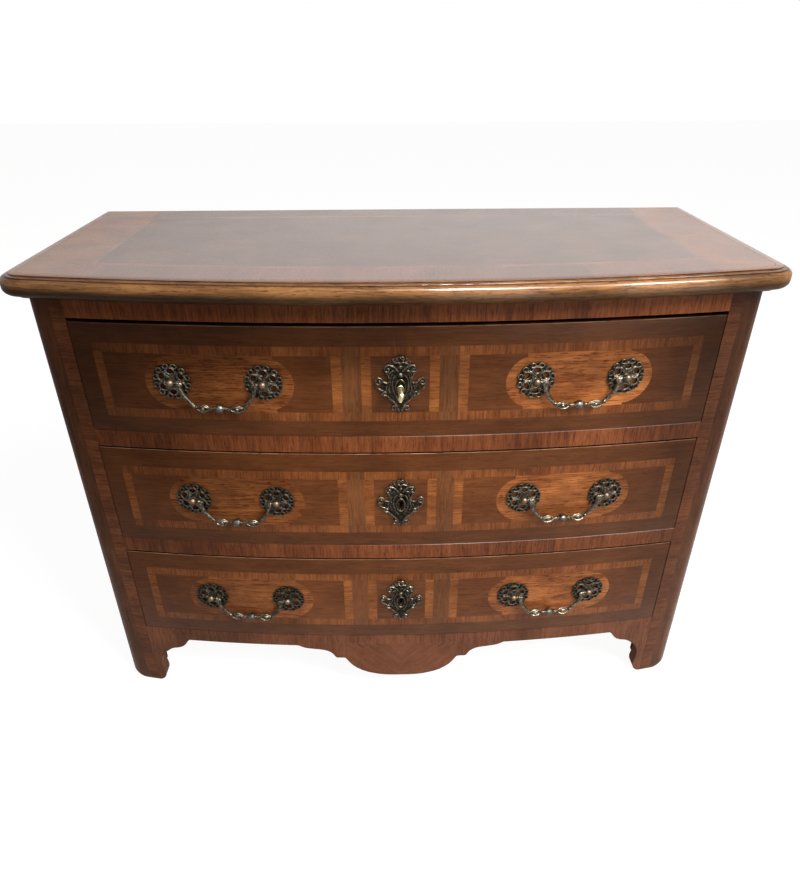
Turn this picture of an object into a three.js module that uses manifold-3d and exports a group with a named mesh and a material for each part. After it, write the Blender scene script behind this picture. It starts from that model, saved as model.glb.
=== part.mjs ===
// Bow-fronted commode chest with three full-width drawers, in millimetres.
// +X runs to the right of the front, +Y to the back, +Z up.
// The origin is on the floor, midway between the tip of the key and the back edge.

import * as THREE from 'three';
import { mergeVertices } from 'three/addons/utils/BufferGeometryUtils.js';
import Module from 'manifold-3d';

const wasm = await Module();
wasm.setup();

// Overall size
const chestHeight = 850;
const topHalfWidth = 589;
const topDepth = 502;

// Clearances
const seam = 0.3;
const drawerSideGap = 1.5;
const drawerBottomGap = 0.5;
const drawerTopGaps = { drawer_1: 5, drawer_2: 2, drawer_3: 2 };
const cutOverrun = 4;

// Top board and the moulding round its front and sides
const topThickness = 36;
const mouldingWidth = 25;
const topRise = 52;
const topCornerRadius = 18;
const lipWidth = 11;
const lipDepth = 2.3;
const ledgeFall = 0.5;
const beadStepDepth = 1.7;
const beadRadius = 8;
const underRadius = 11;
const filletWidth = 6;
const filletHeight = 5;

// Case: the front posts under the overhanging top, and the frame between them
const sideOverhang = 30;
const postWidth = 59;
const caseRise = 36;
const frontSetBack = 30;
const caseBackSetIn = 5;
const postCornerRadius = 24;
const frameDepth = 60;
const footRounding = 13;
const footRoundingHeight = 15;
const backPostWidth = 45;
const backPostDepth = 24;
const backPanelThickness = 10;
const sidePanelThickness = 20;
const sidePanelInset = 2;
const dustBoardThickness = 12;
const guideHeight = 30;

// Rails of the front
const railHeight = 30;
const friezeHeight = 30;

// Apron
const apronThickness = 24;
const apronStraightHeight = 122;
const apronDepth = 29;
const lobeHalfWidth = 128;
const lobeDrop = 81;
const lobeShoulder = 75;
const bracketWidth = 84;
const bracketLeg = 15;
const bracketDrop = 30;
const sideArchInset = 46;
const backRailDepth = 47;

// Drawers
const drawerFrontThickness = 26;
const drawerSideThickness = 12;
const drawerSideDrop = 30.5;
const drawerBackDrop = 15;
const drawerBottomThickness = 8;
const drawerBottomLift = 10;
const drawerBackClearance = 8;

// Handles
const handleOffset = 280.5;
const handleHeight = 94.5;
const postSpacing = 143;
const rosetteRadius = 31;
const rosetteThickness = 2.4;
const rosetteLobes = 12;
const rosetteHoles = 6;
const holeHalfHeight = 4.8;
const holeHalfWidth = 5.7;
const holeCircleRadius = 18.5;
const postNeckRadius = 3.8;
const postBallRadius = 5.8;
const pivotReach = 9;
const pivotHoleRadius = 2.1;
const bailPinRadius = 1.5;
const bailRodRadius = 2.3;
const bailEyeRadius = 3.2;
const bailKnotRadius = 4;
const bailBallRadius = 6.5;
const bailDrop = 43;

// Escutcheons, locks and the key
const keyholeHeight = 91;
const escutcheonHalfWidth = 39.5;
const escutcheonHalfHeight = 49;
const escutcheonThickness = 3;
const keyholeRadius = 4.2;
const keyholeSlotWidth = 4.4;
const keyholeSlotDrop = 14;
const lockHalfWidth = 45;
const lockThickness = 16;
const lockFoot = 22;
const lockTopInset = 1;
const boltWidth = 24;
const boltThickness = 8;
const boltLift = 18;
const boltTravel = 14;
const mortiseMargin = 1.5;
const mortiseSpare = 4;
const keyChamberRadius = 13;
const keyChamberDepth = 10;
const keyReach = 48;
const keyShankRadius = 2.5;
const keyCollarRadius = 5;
const keyCollarWidth = 4;
const keyBowLength = 30;
const keyBowHeight = 22;
const keyBowThickness = 8;
const keyBowRim = 4.5;
const keyBitHeight = 10;
const keyBitLength = 7;
const keyBitThickness = 3;

// Facets
const bowSteps = 16;
const topBowSteps = 20;
const cornerSteps = 5;
const beadSteps = 6;
const tubeSides = 8;
const lobePoints = 3;
const roundSides = 12;

// Outlines, as shares of the size that each follows
const escutcheonOutlineShares = [
  [0, 1], [0.23, 0.92], [0.35, 0.78], [0.54, 0.7], [0.61, 0.54], [0.5, 0.4],
  [0.43, 0.23], [0.5, 0.12], [0.7, 0.26], [0.93, 0.26], [1, 0.09], [0.89, -0.08],
  [0.72, -0.19], [0.7, -0.33], [0.54, -0.33], [0.31, -0.53], [0.15, -0.64],
  [0.33, -0.71], [0.27, -0.85], [0.08, -0.82], [0.06, -0.98], [0, -1],
];
// From the flat bottom of the lobe out to its step: shares of its half-width and drop
const lobeOutlineShares = [
  [0.15, 1], [0.29, 0.98], [0.41, 0.945], [0.57, 0.87], [0.7, 0.74], [0.79, 0.56], [0.86, 0.41],
  [1, 0.395],
];
// From the step of the lobe up to the straight underside: shares of the run and of the rise
const ogeeOutlineShares = [
  [0.09, 0.375], [0.22, 0.59], [0.41, 0.68], [0.67, 0.76], [0.85, 0.83], [0.95, 0.94],
];
// From the straight underside down to the bracket: shares of the run and of the drop
const bracketOutlineShares = [
  [0.08, 0.2], [0.16, 0.47], [0.25, 0.65], [0.43, 0.81], [0.58, 0.92], [0.68, 1],
];
// Inner edge of the bracket foot: shares of the run and of the bracket's height
const footEdgeShares = [
  [0.84, 0.89], [0.93, 0.78], [0.99, 0.66], [1, 0.54], [0.985, 0.41], [0.965, 0.3],
  [0.955, 0.19], [0.985, 0.1], [1.06, 0.03], [1.14, 0],
];
// Centre line of half a bail from its pin to its middle: shares of the half spacing and drop
const bailLineShares = [
  [1.06, 0], [0.93, 0], [0.86, 0.03], [0.81, 0.17], [0.775, 0.4], [0.69, 0.63],
  [0.57, 0.83], [0.47, 0.96], [0.39, 1], [0.31, 1], [0.2, 0.98], [0.11, 0.98], [0.075, 0.98],
  [0.04, 0.98], [0, 0.98],
];
const bailRadii = [
  bailPinRadius, bailPinRadius, bailEyeRadius, bailEyeRadius, bailRodRadius, bailRodRadius,
  bailRodRadius, bailRodRadius, bailKnotRadius, bailRodRadius, bailRodRadius, bailRodRadius,
  (bailRodRadius + bailBallRadius) / 2, bailBallRadius, bailBallRadius,
];
const scallopFloorShare = 0.9;

// Levels and planes that the sizes give
const caseTop = chestHeight - topThickness;
const caseHalfWidth = topHalfWidth - sideOverhang;
const openingHalfWidth = caseHalfWidth - postWidth;
const apronTop = apronStraightHeight + apronDepth;
const bracketHeight = apronStraightHeight - bracketDrop;
const openingHeight = (caseTop - friezeHeight - apronTop - 2 * railHeight) / 3;
const straightInner = lobeHalfWidth + lobeShoulder;
const straightOuter = openingHalfWidth - bracketWidth;
const bracketInner = openingHalfWidth - bracketLeg;
const keyProud = keyReach - frontSetBack;
const backEdgeY = (topDepth + keyProud) / 2;
const caseBackY = backEdgeY - caseBackSetIn;
const mouldingFrontY = backEdgeY - topDepth;
const boardHalfWidth = topHalfWidth - mouldingWidth;
const boardFrontY = mouldingFrontY + mouldingWidth;
const frontY = mouldingFrontY + frontSetBack;
const frontRadius = (openingHalfWidth ** 2 + caseRise ** 2) / (2 * caseRise);
const topRadius = (boardHalfWidth ** 2 + topRise ** 2) / (2 * topRise);
const frameBackY = frontY + caseRise + frameDepth;
const panelFrontY = caseBackY - backPostDepth;
const sidePanelOuter = caseHalfWidth - sidePanelInset;
const sidePanelInner = sidePanelOuter - sidePanelThickness;
const openingBottoms = {
  drawer_3: apronTop,
  drawer_2: apronTop + openingHeight + railHeight,
  drawer_1: apronTop + 2 * (openingHeight + railHeight),
};
const friezeBottom = openingBottoms.drawer_1 + openingHeight;

/** Y of a bowed face at x, for a face set back from the front by depth. */
function bowY(x, depth = 0) {
  const radius = frontRadius - depth;
  return frontY + frontRadius - Math.sqrt(radius ** 2 - x ** 2);
}

/** Turn about Z that lays a piece flat on the bowed front at x. */
function bowTurn(x) {
  return Math.asin(x / frontRadius);
}

/** Closed shape through [x, y] pairs. */
function outline(points) {
  return new THREE.Shape(points.map(([x, y]) => new THREE.Vector2(x, y)));
}

/** Slab of a plan outline between two heights. */
function planSlab(points, bottom, top) {
  const slab = new THREE.ExtrudeGeometry(outline(points), {
    depth: top - bottom, bevelEnabled: false,
  });
  return slab.translate(0, 0, bottom);
}

/** Slab of an upright outline, given in x and z, between two planes across Y. */
function uprightSlab(shape, front, back) {
  const slab = new THREE.ExtrudeGeometry(shape, { depth: back - front, bevelEnabled: false });
  return slab.rotateX(Math.PI / 2).translate(0, back, 0);
}

/** Box between two corners. */
function boxBetween([x0, y0, z0], [x1, y1, z1]) {
  const box = new THREE.BoxGeometry(x1 - x0, y1 - y0, z1 - z0);
  return box.translate((x0 + x1) / 2, (y0 + y1) / 2, (z0 + z1) / 2);
}

/** Solid for joining and cutting, with the shared corners of its faces merged. */
function solidOf(geometry) {
  const bare = geometry.clone();
  bare.deleteAttribute('normal');
  bare.deleteAttribute('uv');
  const merged = mergeVertices(bare);
  return new wasm.Manifold(new wasm.Mesh({
    numProp: 3,
    vertProperties: new Float32Array(merged.attributes.position.array),
    triVerts: new Uint32Array(merged.index.array),
  }));
}

/** Geometry of a joined or cut solid. */
function geometryOf(solid) {
  const { vertProperties, triVerts, numProp } = solid.getMesh();
  const geometry = new THREE.BufferGeometry();
  geometry.setAttribute('position', new THREE.BufferAttribute(vertProperties, numProp));
  geometry.setIndex(new THREE.BufferAttribute(triVerts, 1));
  geometry.computeVertexNormals();
  return geometry;
}

/** Closed skin over rings of points. The flat outline closes both ends. */
function skin(rings, flat) {
  const count = flat.length;
  const corners = rings.flat().flatMap((point) => [point.x, point.y, point.z]);
  const faces = [];
  for (let ring = 0; ring < rings.length - 1; ring += 1) {
    for (let i = 0; i < count; i += 1) {
      const next = (i + 1) % count;
      const [a, b] = [ring * count + i, ring * count + next];
      faces.push(a, b, b + count, a, b + count, a + count);
    }
  }
  const last = (rings.length - 1) * count;
  for (const [a, b, c] of THREE.ShapeUtils.triangulateShape(flat, [])) {
    faces.push(c, b, a, last + a, last + b, last + c);
  }
  const geometry = new THREE.BufferGeometry();
  geometry.setAttribute('position', new THREE.Float32BufferAttribute(corners, 3));
  geometry.setIndex(faces);
  geometry.computeVertexNormals();
  return geometry;
}

/** Stations along a bowed line with rounded corners, from the left corner to the right. */
function bowedLine(halfWidth, radius, front, cornerRadius, steps) {
  const centreY = front + radius;
  const cornerX = halfWidth - cornerRadius;
  const reach = radius - cornerRadius;
  const cornerY = centreY - Math.sqrt(reach ** 2 - cornerX ** 2);
  const join = Math.asin(cornerX / reach);
  const station = (x, y, arc, angle) => {
    const [nx, ny] = [Math.sin(angle), -Math.cos(angle)];
    return { x: x + arc * nx, y: y + arc * ny, nx, ny };
  };
  const line = [];
  for (let i = 0; i < cornerSteps; i += 1) {
    const angle = -Math.PI / 2 + (Math.PI / 2 - join) * (i / cornerSteps);
    line.push(station(-cornerX, cornerY, cornerRadius, angle));
  }
  for (let i = 0; i <= steps; i += 1) {
    line.push(station(0, centreY, radius, join * (2 * i / steps - 1)));
  }
  for (let i = 1; i <= cornerSteps; i += 1) {
    const angle = join + (Math.PI / 2 - join) * (i / cornerSteps);
    line.push(station(cornerX, cornerY, cornerRadius, angle));
  }
  return line;
}

const chest = new THREE.Group();

/** Adds one named piece with its own finish. */
function piece(parent, name, geometry, finish) {
  const mesh = new THREE.Mesh(geometry, new THREE.MeshStandardMaterial(finish));
  mesh.name = name;
  parent.add(mesh);
  return mesh;
}

const finishes = {
  topVeneer: { color: 0x7a4a30, roughness: 0.3, metalness: 0 },
  beadVeneer: { color: 0x96693a, roughness: 0.35, metalness: 0 },
  crossband: { color: 0x7d4426, roughness: 0.4, metalness: 0 },
  drawerVeneer: { color: 0x6b3c20, roughness: 0.35, metalness: 0 },
  caseVeneer: { color: 0x5f351f, roughness: 0.4, metalness: 0 },
  plainWood: { color: 0x9a7448, roughness: 0.7, metalness: 0 },
  bronze: { color: 0x4c4334, roughness: 0.4, metalness: 0.9 },
  brass: { color: 0xb59a55, roughness: 0.3, metalness: 0.95 },
  iron: { color: 0x55524d, roughness: 0.5, metalness: 0.9 },
};

// Top board
{
  const line = bowedLine(boardHalfWidth - seam, topRadius - seam, boardFrontY + seam,
    topCornerRadius - seam, topBowSteps);
  const plan = [...line.map(({ x, y }) => [x, y]),
    [boardHalfWidth - seam, backEdgeY], [-(boardHalfWidth - seam), backEdgeY]];
  piece(chest, 'top_board', planSlab(plan, caseTop, chestHeight), finishes.topVeneer);
}

// Edge moulding: lip, sloping ledge, a roll rounded above and below, and a fillet under it
{
  const line = bowedLine(boardHalfWidth, topRadius, boardFrontY, topCornerRadius, topBowSteps);
  const path = [
    { x: -boardHalfWidth, y: backEdgeY, nx: -1, ny: 0 }, ...line,
    { x: boardHalfWidth, y: backEdgeY, nx: 1, ny: 0 },
  ].reverse();
  const quarter = Math.PI / 2;
  const beadTop = -lipDepth - ledgeFall - beadStepDepth;
  const rollBottom = filletHeight - topThickness;
  const bend = (radius, centreUp, start) => Array.from({ length: beadSteps + 1 }, (_, i) => {
    const angle = start + (i / beadSteps) * quarter;
    return [mouldingWidth - radius + radius * Math.cos(angle),
      centreUp + radius * Math.sin(angle)];
  });
  const profile = [
    [0, -topThickness], [filletWidth, -topThickness], [filletWidth, rollBottom],
    ...bend(underRadius, rollBottom + underRadius, -quarter),
    ...bend(beadRadius, beadTop - beadRadius, 0),
    [mouldingWidth - beadRadius, -lipDepth - ledgeFall],
    [lipWidth, -lipDepth], [lipWidth, 0], [0, 0],
  ];
  const flat = profile.map(([out, up]) => new THREE.Vector2(out, up));
  const rings = path.map(({ x, y, nx, ny }) => profile.map(([out, up]) => (
    new THREE.Vector3(x + out * nx, y + out * ny, chestHeight + up))));
  piece(chest, 'edge_moulding', skin(rings, flat), finishes.beadVeneer);
}

// Front posts: bowed face, rounded outer corner and a rounded foot
{
  const postTop = caseTop - seam;
  const ringAt = (inset, z) => {
    const line = bowedLine(caseHalfWidth - inset, frontRadius, frontY, postCornerRadius,
      bowSteps);
    const front = [openingHalfWidth, bowY(openingHalfWidth)];
    const corner = line.slice(-cornerSteps - 1).map(({ x, y }) => [x, y]);
    return [front, ...corner, [caseHalfWidth - inset, frameBackY],
      [openingHalfWidth, frameBackY]].map(([x, y]) => new THREE.Vector3(x, y, z));
  };
  const rings = [];
  const roundingSteps = 3;
  for (let i = 0; i <= roundingSteps; i += 1) {
    const angle = (i / roundingSteps) * (Math.PI / 2);
    rings.push(ringAt(footRounding * (1 - Math.sin(angle)),
      footRoundingHeight * (1 - Math.cos(angle))));
  }
  rings.push(ringAt(0, postTop));
  const flat = rings[0].map(({ x, y }) => new THREE.Vector2(x, y));
  piece(chest, 'front_post_right', skin(rings, flat), finishes.caseVeneer);
  const mirrored = rings.map((ring) => ring.map(({ x, y, z }) => new THREE.Vector3(-x, y, z))
    .reverse());
  const flatMirrored = mirrored[0].map(({ x, y }) => new THREE.Vector2(x, y));
  piece(chest, 'front_post_left', skin(mirrored, flatMirrored), finishes.caseVeneer);
}

// Back posts, side panels and side aprons
for (const [side, sign] of [['left', -1], ['right', 1]]) {
  const across = (inner, outer) => (sign > 0 ? [inner, outer] : [-outer, -inner]);
  const [postIn, postOut] = across(caseHalfWidth - backPostWidth, caseHalfWidth);
  piece(chest, `back_post_${side}`,
    boxBetween([postIn, panelFrontY, 0], [postOut, caseBackY, caseTop - seam]),
    finishes.caseVeneer);
  const [panelIn, panelOut] = across(sidePanelInner, sidePanelOuter);
  const panelStart = frameBackY + seam;
  const panelEnd = panelFrontY - seam;
  piece(chest, `side_panel_${side}`,
    boxBetween([panelIn, panelStart, apronTop + seam], [panelOut, panelEnd, caseTop - seam]),
    finishes.caseVeneer);
  const archStart = panelStart + sideArchInset;
  const archEnd = panelEnd - sideArchInset;
  const ogee = bracketOutlineShares.map(([run, fall]) => [
    sideArchInset * run, apronStraightHeight - bracketDrop * fall,
  ]);
  const apron = [
    [panelStart, apronTop], [panelStart, bracketHeight],
    ...[...ogee].reverse().map(([run, z]) => [archStart - run, z]),
    [archStart, apronStraightHeight], [archEnd, apronStraightHeight],
    ...ogee.map(([run, z]) => [archEnd + run, z]),
    [panelEnd, bracketHeight], [panelEnd, apronTop],
  ];
  const slab = new THREE.ExtrudeGeometry(outline(apron), {
    depth: sidePanelThickness, bevelEnabled: false,
  });
  slab.rotateX(Math.PI / 2).rotateZ(Math.PI / 2).translate(panelIn, 0, 0);
  piece(chest, `side_apron_${side}`, slab, finishes.caseVeneer);
}

// Back panel and the rail under it
{
  const panelHalf = caseHalfWidth - backPostWidth - seam;
  piece(chest, 'back_panel',
    boxBetween([-panelHalf, panelFrontY, apronTop + seam],
      [panelHalf, panelFrontY + backPanelThickness, caseTop - seam]), finishes.plainWood);
  piece(chest, 'back_rail',
    boxBetween([-panelHalf, panelFrontY, apronTop - backRailDepth],
      [panelHalf, caseBackY, apronTop]), finishes.plainWood);
}

/** Plan of a bowed rail between the posts, straight along its back. */
function railPlan(back) {
  const half = openingHalfWidth - seam;
  const front = [];
  for (let i = 0; i <= bowSteps; i += 1) {
    const x = half * (2 * i / bowSteps - 1);
    front.push([x, bowY(x)]);
  }
  return [...front, [half, back], [-half, back]];
}

// Y of the lock bolt, in a case seated on the flat facets behind the drawer fronts
const facetWidth = 2 * openingHalfWidth / bowSteps;
const boltY = bowY(facetWidth, drawerFrontThickness) + seam + lockThickness / 2;

// Frieze rail, mortised for the bolt of the top drawer's lock
{
  const rail = solidOf(planSlab(railPlan(frameBackY), friezeBottom, caseTop - seam));
  const halfWide = boltWidth / 2 + mortiseMargin;
  const halfDeep = boltThickness / 2 + mortiseMargin;
  const mortise = solidOf(boxBetween(
    [-halfWide, boltY - halfDeep, friezeBottom - cutOverrun],
    [halfWide, boltY + halfDeep, friezeBottom + boltTravel - drawerTopGaps.drawer_1
      - lockTopInset + mortiseSpare]));
  piece(chest, 'frieze_rail', geometryOf(rail.subtract(mortise)), finishes.crossband);
}

// Rails between the drawers
for (const [name, above] of [['rail_upper', 'drawer_1'], ['rail_lower', 'drawer_2']]) {
  const top = openingBottoms[above];
  piece(chest, name, planSlab(railPlan(frameBackY), top - railHeight, top),
    finishes.crossband);
}

// Front apron: a bowed board cut to the lobe, the straight runs and the bracket feet
{
  const half = openingHalfWidth - seam;
  const boardPlan = [];
  for (let i = 0; i <= bowSteps; i += 1) {
    const x = half * (2 * i / bowSteps - 1);
    boardPlan.push([x, bowY(x)]);
  }
  for (let i = bowSteps; i >= 0; i -= 1) {
    const x = half * (2 * i / bowSteps - 1);
    boardPlan.push([x, bowY(x, apronThickness)]);
  }
  const board = solidOf(planSlab(boardPlan, 0, apronTop));
  const bracketRun = bracketInner - straightOuter;
  const stepHeight = apronStraightHeight - lobeDrop * lobeOutlineShares.at(-1)[1];
  const edge = [
    ...lobeOutlineShares.map(([out, down]) => [
      lobeHalfWidth * out, apronStraightHeight - lobeDrop * down]),
    ...ogeeOutlineShares.map(([out, up]) => [
      lobeHalfWidth + (straightInner - lobeHalfWidth) * out,
      stepHeight + (apronStraightHeight - stepHeight) * up]),
    [straightInner, apronStraightHeight], [straightOuter, apronStraightHeight],
    ...bracketOutlineShares.map(([out, down]) => [
      straightOuter + bracketRun * out, apronStraightHeight - bracketDrop * down]),
    ...footEdgeShares.map(([out, up]) => [straightOuter + bracketRun * out, bracketHeight * up]),
  ];
  const rightEdge = [...edge, [openingHalfWidth + cutOverrun, 0],
    [openingHalfWidth + cutOverrun, apronTop + cutOverrun]];
  const leftEdge = rightEdge.map(([x, z]) => [-x, z]).reverse();
  const cutter = solidOf(uprightSlab(outline([...leftEdge, ...rightEdge].reverse()),
    frontY - cutOverrun, frontY + caseRise + apronThickness + cutOverrun));
  piece(chest, 'apron_front', geometryOf(board.intersect(cutter)), finishes.crossband);
}

// Dust boards under the drawers, each with its two drawer guides
for (const [index, name] of ['drawer_1', 'drawer_2', 'drawer_3'].entries()) {
  const top = openingBottoms[name];
  const outer = sidePanelInner - seam;
  const section = [
    [-outer, top - dustBoardThickness], [outer, top - dustBoardThickness],
    [outer, top + guideHeight], [openingHalfWidth, top + guideHeight],
    [openingHalfWidth, top], [-openingHalfWidth, top],
    [-openingHalfWidth, top + guideHeight], [-outer, top + guideHeight],
  ];
  piece(chest, `dust_board_${index + 1}`,
    uprightSlab(outline(section), frameBackY + seam, panelFrontY - seam),
    finishes.plainWood);
}

/** Keyhole outline round a centre, as a shape in x and z: a round with a slot below it. */
function keyholeShape(centreZ, Kind) {
  const halfSlot = keyholeSlotWidth / 2;
  const start = Math.asin(halfSlot / keyholeRadius);
  const points = [new THREE.Vector2(-halfSlot, centreZ - keyholeSlotDrop),
    new THREE.Vector2(halfSlot, centreZ - keyholeSlotDrop)];
  for (let i = 0; i <= roundSides; i += 1) {
    const angle = -Math.PI / 2 + start + (2 * Math.PI - 2 * start) * (i / roundSides);
    points.push(new THREE.Vector2(keyholeRadius * Math.cos(angle),
      centreZ + keyholeRadius * Math.sin(angle)));
  }
  return new Kind(points);
}

/** Pierced rosette with its ball-headed post, seen from the front at the origin. */
function rosetteGeometry() {
  const rim = [];
  const count = rosetteLobes * lobePoints;
  for (let i = 0; i < count; i += 1) {
    const angle = (i / count) * 2 * Math.PI;
    const swell = Math.abs(Math.sin(rosetteLobes * angle / 2));
    const radius = rosetteRadius * (scallopFloorShare + (1 - scallopFloorShare) * swell);
    rim.push(new THREE.Vector2(radius * Math.cos(angle), radius * Math.sin(angle)));
  }
  const plate = new THREE.Shape(rim);
  const holeSides = 6;
  for (let hole = 0; hole < rosetteHoles; hole += 1) {
    const turn = (hole / rosetteHoles) * 2 * Math.PI + Math.PI / 2;
    const ring = [];
    for (let i = 0; i < holeSides; i += 1) {
      const angle = (i / holeSides) * 2 * Math.PI;
      const out = holeCircleRadius + holeHalfHeight * Math.cos(angle);
      const along = holeHalfWidth * Math.sin(angle);
      ring.push(new THREE.Vector2(out * Math.cos(turn) - along * Math.sin(turn),
        out * Math.sin(turn) + along * Math.cos(turn)));
    }
    plate.holes.push(new THREE.Path(ring));
  }
  const disc = solidOf(uprightSlab(plate, -seam - rosetteThickness, -seam));
  const profile = [new THREE.Vector2(0, -seam - rosetteThickness / 2),
    new THREE.Vector2(postNeckRadius, -seam - rosetteThickness / 2)];
  const ballSteps = 5;
  const start = Math.asin(postNeckRadius / postBallRadius);
  for (let i = 0; i <= ballSteps; i += 1) {
    const angle = start + (Math.PI - start) * (i / ballSteps);
    const radius = i === ballSteps ? 0 : postBallRadius * Math.sin(angle);
    profile.push(new THREE.Vector2(radius, postBallRadius * Math.cos(angle) - pivotReach));
  }
  const post = solidOf(new THREE.LatheGeometry(profile.reverse(), tubeSides));
  const bore = solidOf(new THREE.CylinderGeometry(pivotHoleRadius, pivotHoleRadius,
    2 * (postBallRadius + cutOverrun), tubeSides).rotateZ(Math.PI / 2)
    .translate(0, -pivotReach, 0));
  return geometryOf(disc.add(post).subtract(bore));
}

/** Bail hanging from the line of its two pins, which lies on the X axis. */
function bailGeometry() {
  const half = postSpacing / 2;
  const right = bailLineShares.map(([out, down], i) => (
    { x: half * out, z: -bailDrop * down, radius: bailRadii[i] }));
  const left = right.slice(0, -1).map(({ x, z, radius }) => ({ x: -x, z, radius }));
  const line = [...left, ...right.reverse()];
  const across = new THREE.Vector3(0, 1, 0);
  const circle = Array.from({ length: tubeSides }, (_, i) => (i / tubeSides) * 2 * Math.PI);
  const rings = line.map(({ x, z, radius }, i) => {
    const before = line[Math.max(i - 1, 0)];
    const after = line[Math.min(i + 1, line.length - 1)];
    const along = new THREE.Vector3(after.x - before.x, 0, after.z - before.z).normalize();
    const up = along.clone().cross(across);
    return circle.map((angle) => new THREE.Vector3(x, 0, z)
      .addScaledVector(across, radius * Math.cos(angle))
      .addScaledVector(up, radius * Math.sin(angle)));
  });
  const flat = circle.map((angle) => new THREE.Vector2(Math.cos(angle), Math.sin(angle)));
  return skin(rings, flat);
}

/** Escutcheon plate round a keyhole at the origin, seen from the front. */
function escutcheonGeometry() {
  const right = escutcheonOutlineShares.map(([out, up]) => [
    escutcheonHalfWidth * out, escutcheonHalfHeight * up]);
  const left = right.slice(1, -1).map(([x, z]) => [-x, z]).reverse();
  const plate = outline([...right, ...left]);
  plate.holes.push(keyholeShape(0, THREE.Path));
  return uprightSlab(plate, -seam - escutcheonThickness, -seam);
}

/** Drawer front between two heights, with its keyhole. */
function drawerFrontGeometry(half, bottom, top, keyholeZ) {
  const plan = [];
  for (let i = 0; i <= bowSteps; i += 1) {
    const x = half * (2 * i / bowSteps - 1);
    plan.push([x, bowY(x)]);
  }
  for (let i = bowSteps; i >= 0; i -= 1) {
    const x = half * (2 * i / bowSteps - 1);
    plan.push([x, bowY(x, drawerFrontThickness)]);
  }
  const board = solidOf(planSlab(plan, bottom, top));
  const keyhole = solidOf(uprightSlab(keyholeShape(keyholeZ, THREE.Shape),
    frontY - cutOverrun, frontY + drawerFrontThickness + cutOverrun));
  return geometryOf(board.subtract(keyhole));
}

/** Lock case behind a drawer front. The working one has a bolt slot and a key chamber. */
function lockGeometry(keyholeZ, top, working) {
  const front = boltY - lockThickness / 2;
  const back = boltY + lockThickness / 2;
  const box = boxBetween([-lockHalfWidth, front, keyholeZ - lockFoot],
    [lockHalfWidth, back, top]);
  if (!working) return box;
  const slot = boxBetween(
    [-boltWidth / 2, boltY - boltThickness / 2, keyholeZ + boltLift],
    [boltWidth / 2, boltY + boltThickness / 2, top + cutOverrun]);
  const chamber = new THREE.CylinderGeometry(keyChamberRadius, keyChamberRadius,
    keyChamberDepth + cutOverrun, roundSides).translate(0,
    front + (keyChamberDepth - cutOverrun) / 2, keyholeZ);
  return geometryOf(solidOf(box).subtract(solidOf(slot)).subtract(solidOf(chamber)));
}

/** Key with its shank along Y at a keyhole's height and its bow upright. */
function keyGeometry(keyholeZ) {
  const tip = frontY - keyReach;
  const bowBack = tip + keyBowLength;
  const end = frontY + drawerFrontThickness + seam + keyBitLength;
  const rod = (radius, from, to) => new THREE.CylinderGeometry(radius, radius, to - from,
    roundSides).translate(0, (from + to) / 2, keyholeZ);
  const shankStart = bowBack - keyBowRim / 2;
  const shank = solidOf(rod(keyShankRadius, shankStart, end));
  const collarStart = bowBack - keyBowRim / 4;
  const collar = solidOf(rod(keyCollarRadius, collarStart, collarStart + keyCollarWidth));
  const oval = (halfLong, halfHigh) => Array.from({ length: 2 * roundSides }, (_, i) => {
    const angle = (i / (2 * roundSides)) * 2 * Math.PI;
    return new THREE.Vector2(halfLong * Math.cos(angle), halfHigh * Math.sin(angle));
  });
  const ring = new THREE.Shape(oval(keyBowLength / 2, keyBowHeight / 2));
  ring.holes.push(new THREE.Path(oval(keyBowLength / 2 - keyBowRim,
    keyBowHeight / 2 - keyBowRim)));
  const bow = new THREE.ExtrudeGeometry(ring, { depth: keyBowThickness, bevelEnabled: false });
  bow.rotateX(Math.PI / 2).rotateZ(Math.PI / 2).translate(-keyBowThickness / 2,
    tip + keyBowLength / 2, keyholeZ);
  const bit = solidOf(boxBetween(
    [-keyBitThickness / 2, end - keyBitLength, keyholeZ - keyBitHeight],
    [keyBitThickness / 2, end, keyholeZ]));
  return geometryOf(shank.add(collar).add(solidOf(bow)).add(bit));
}

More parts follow.
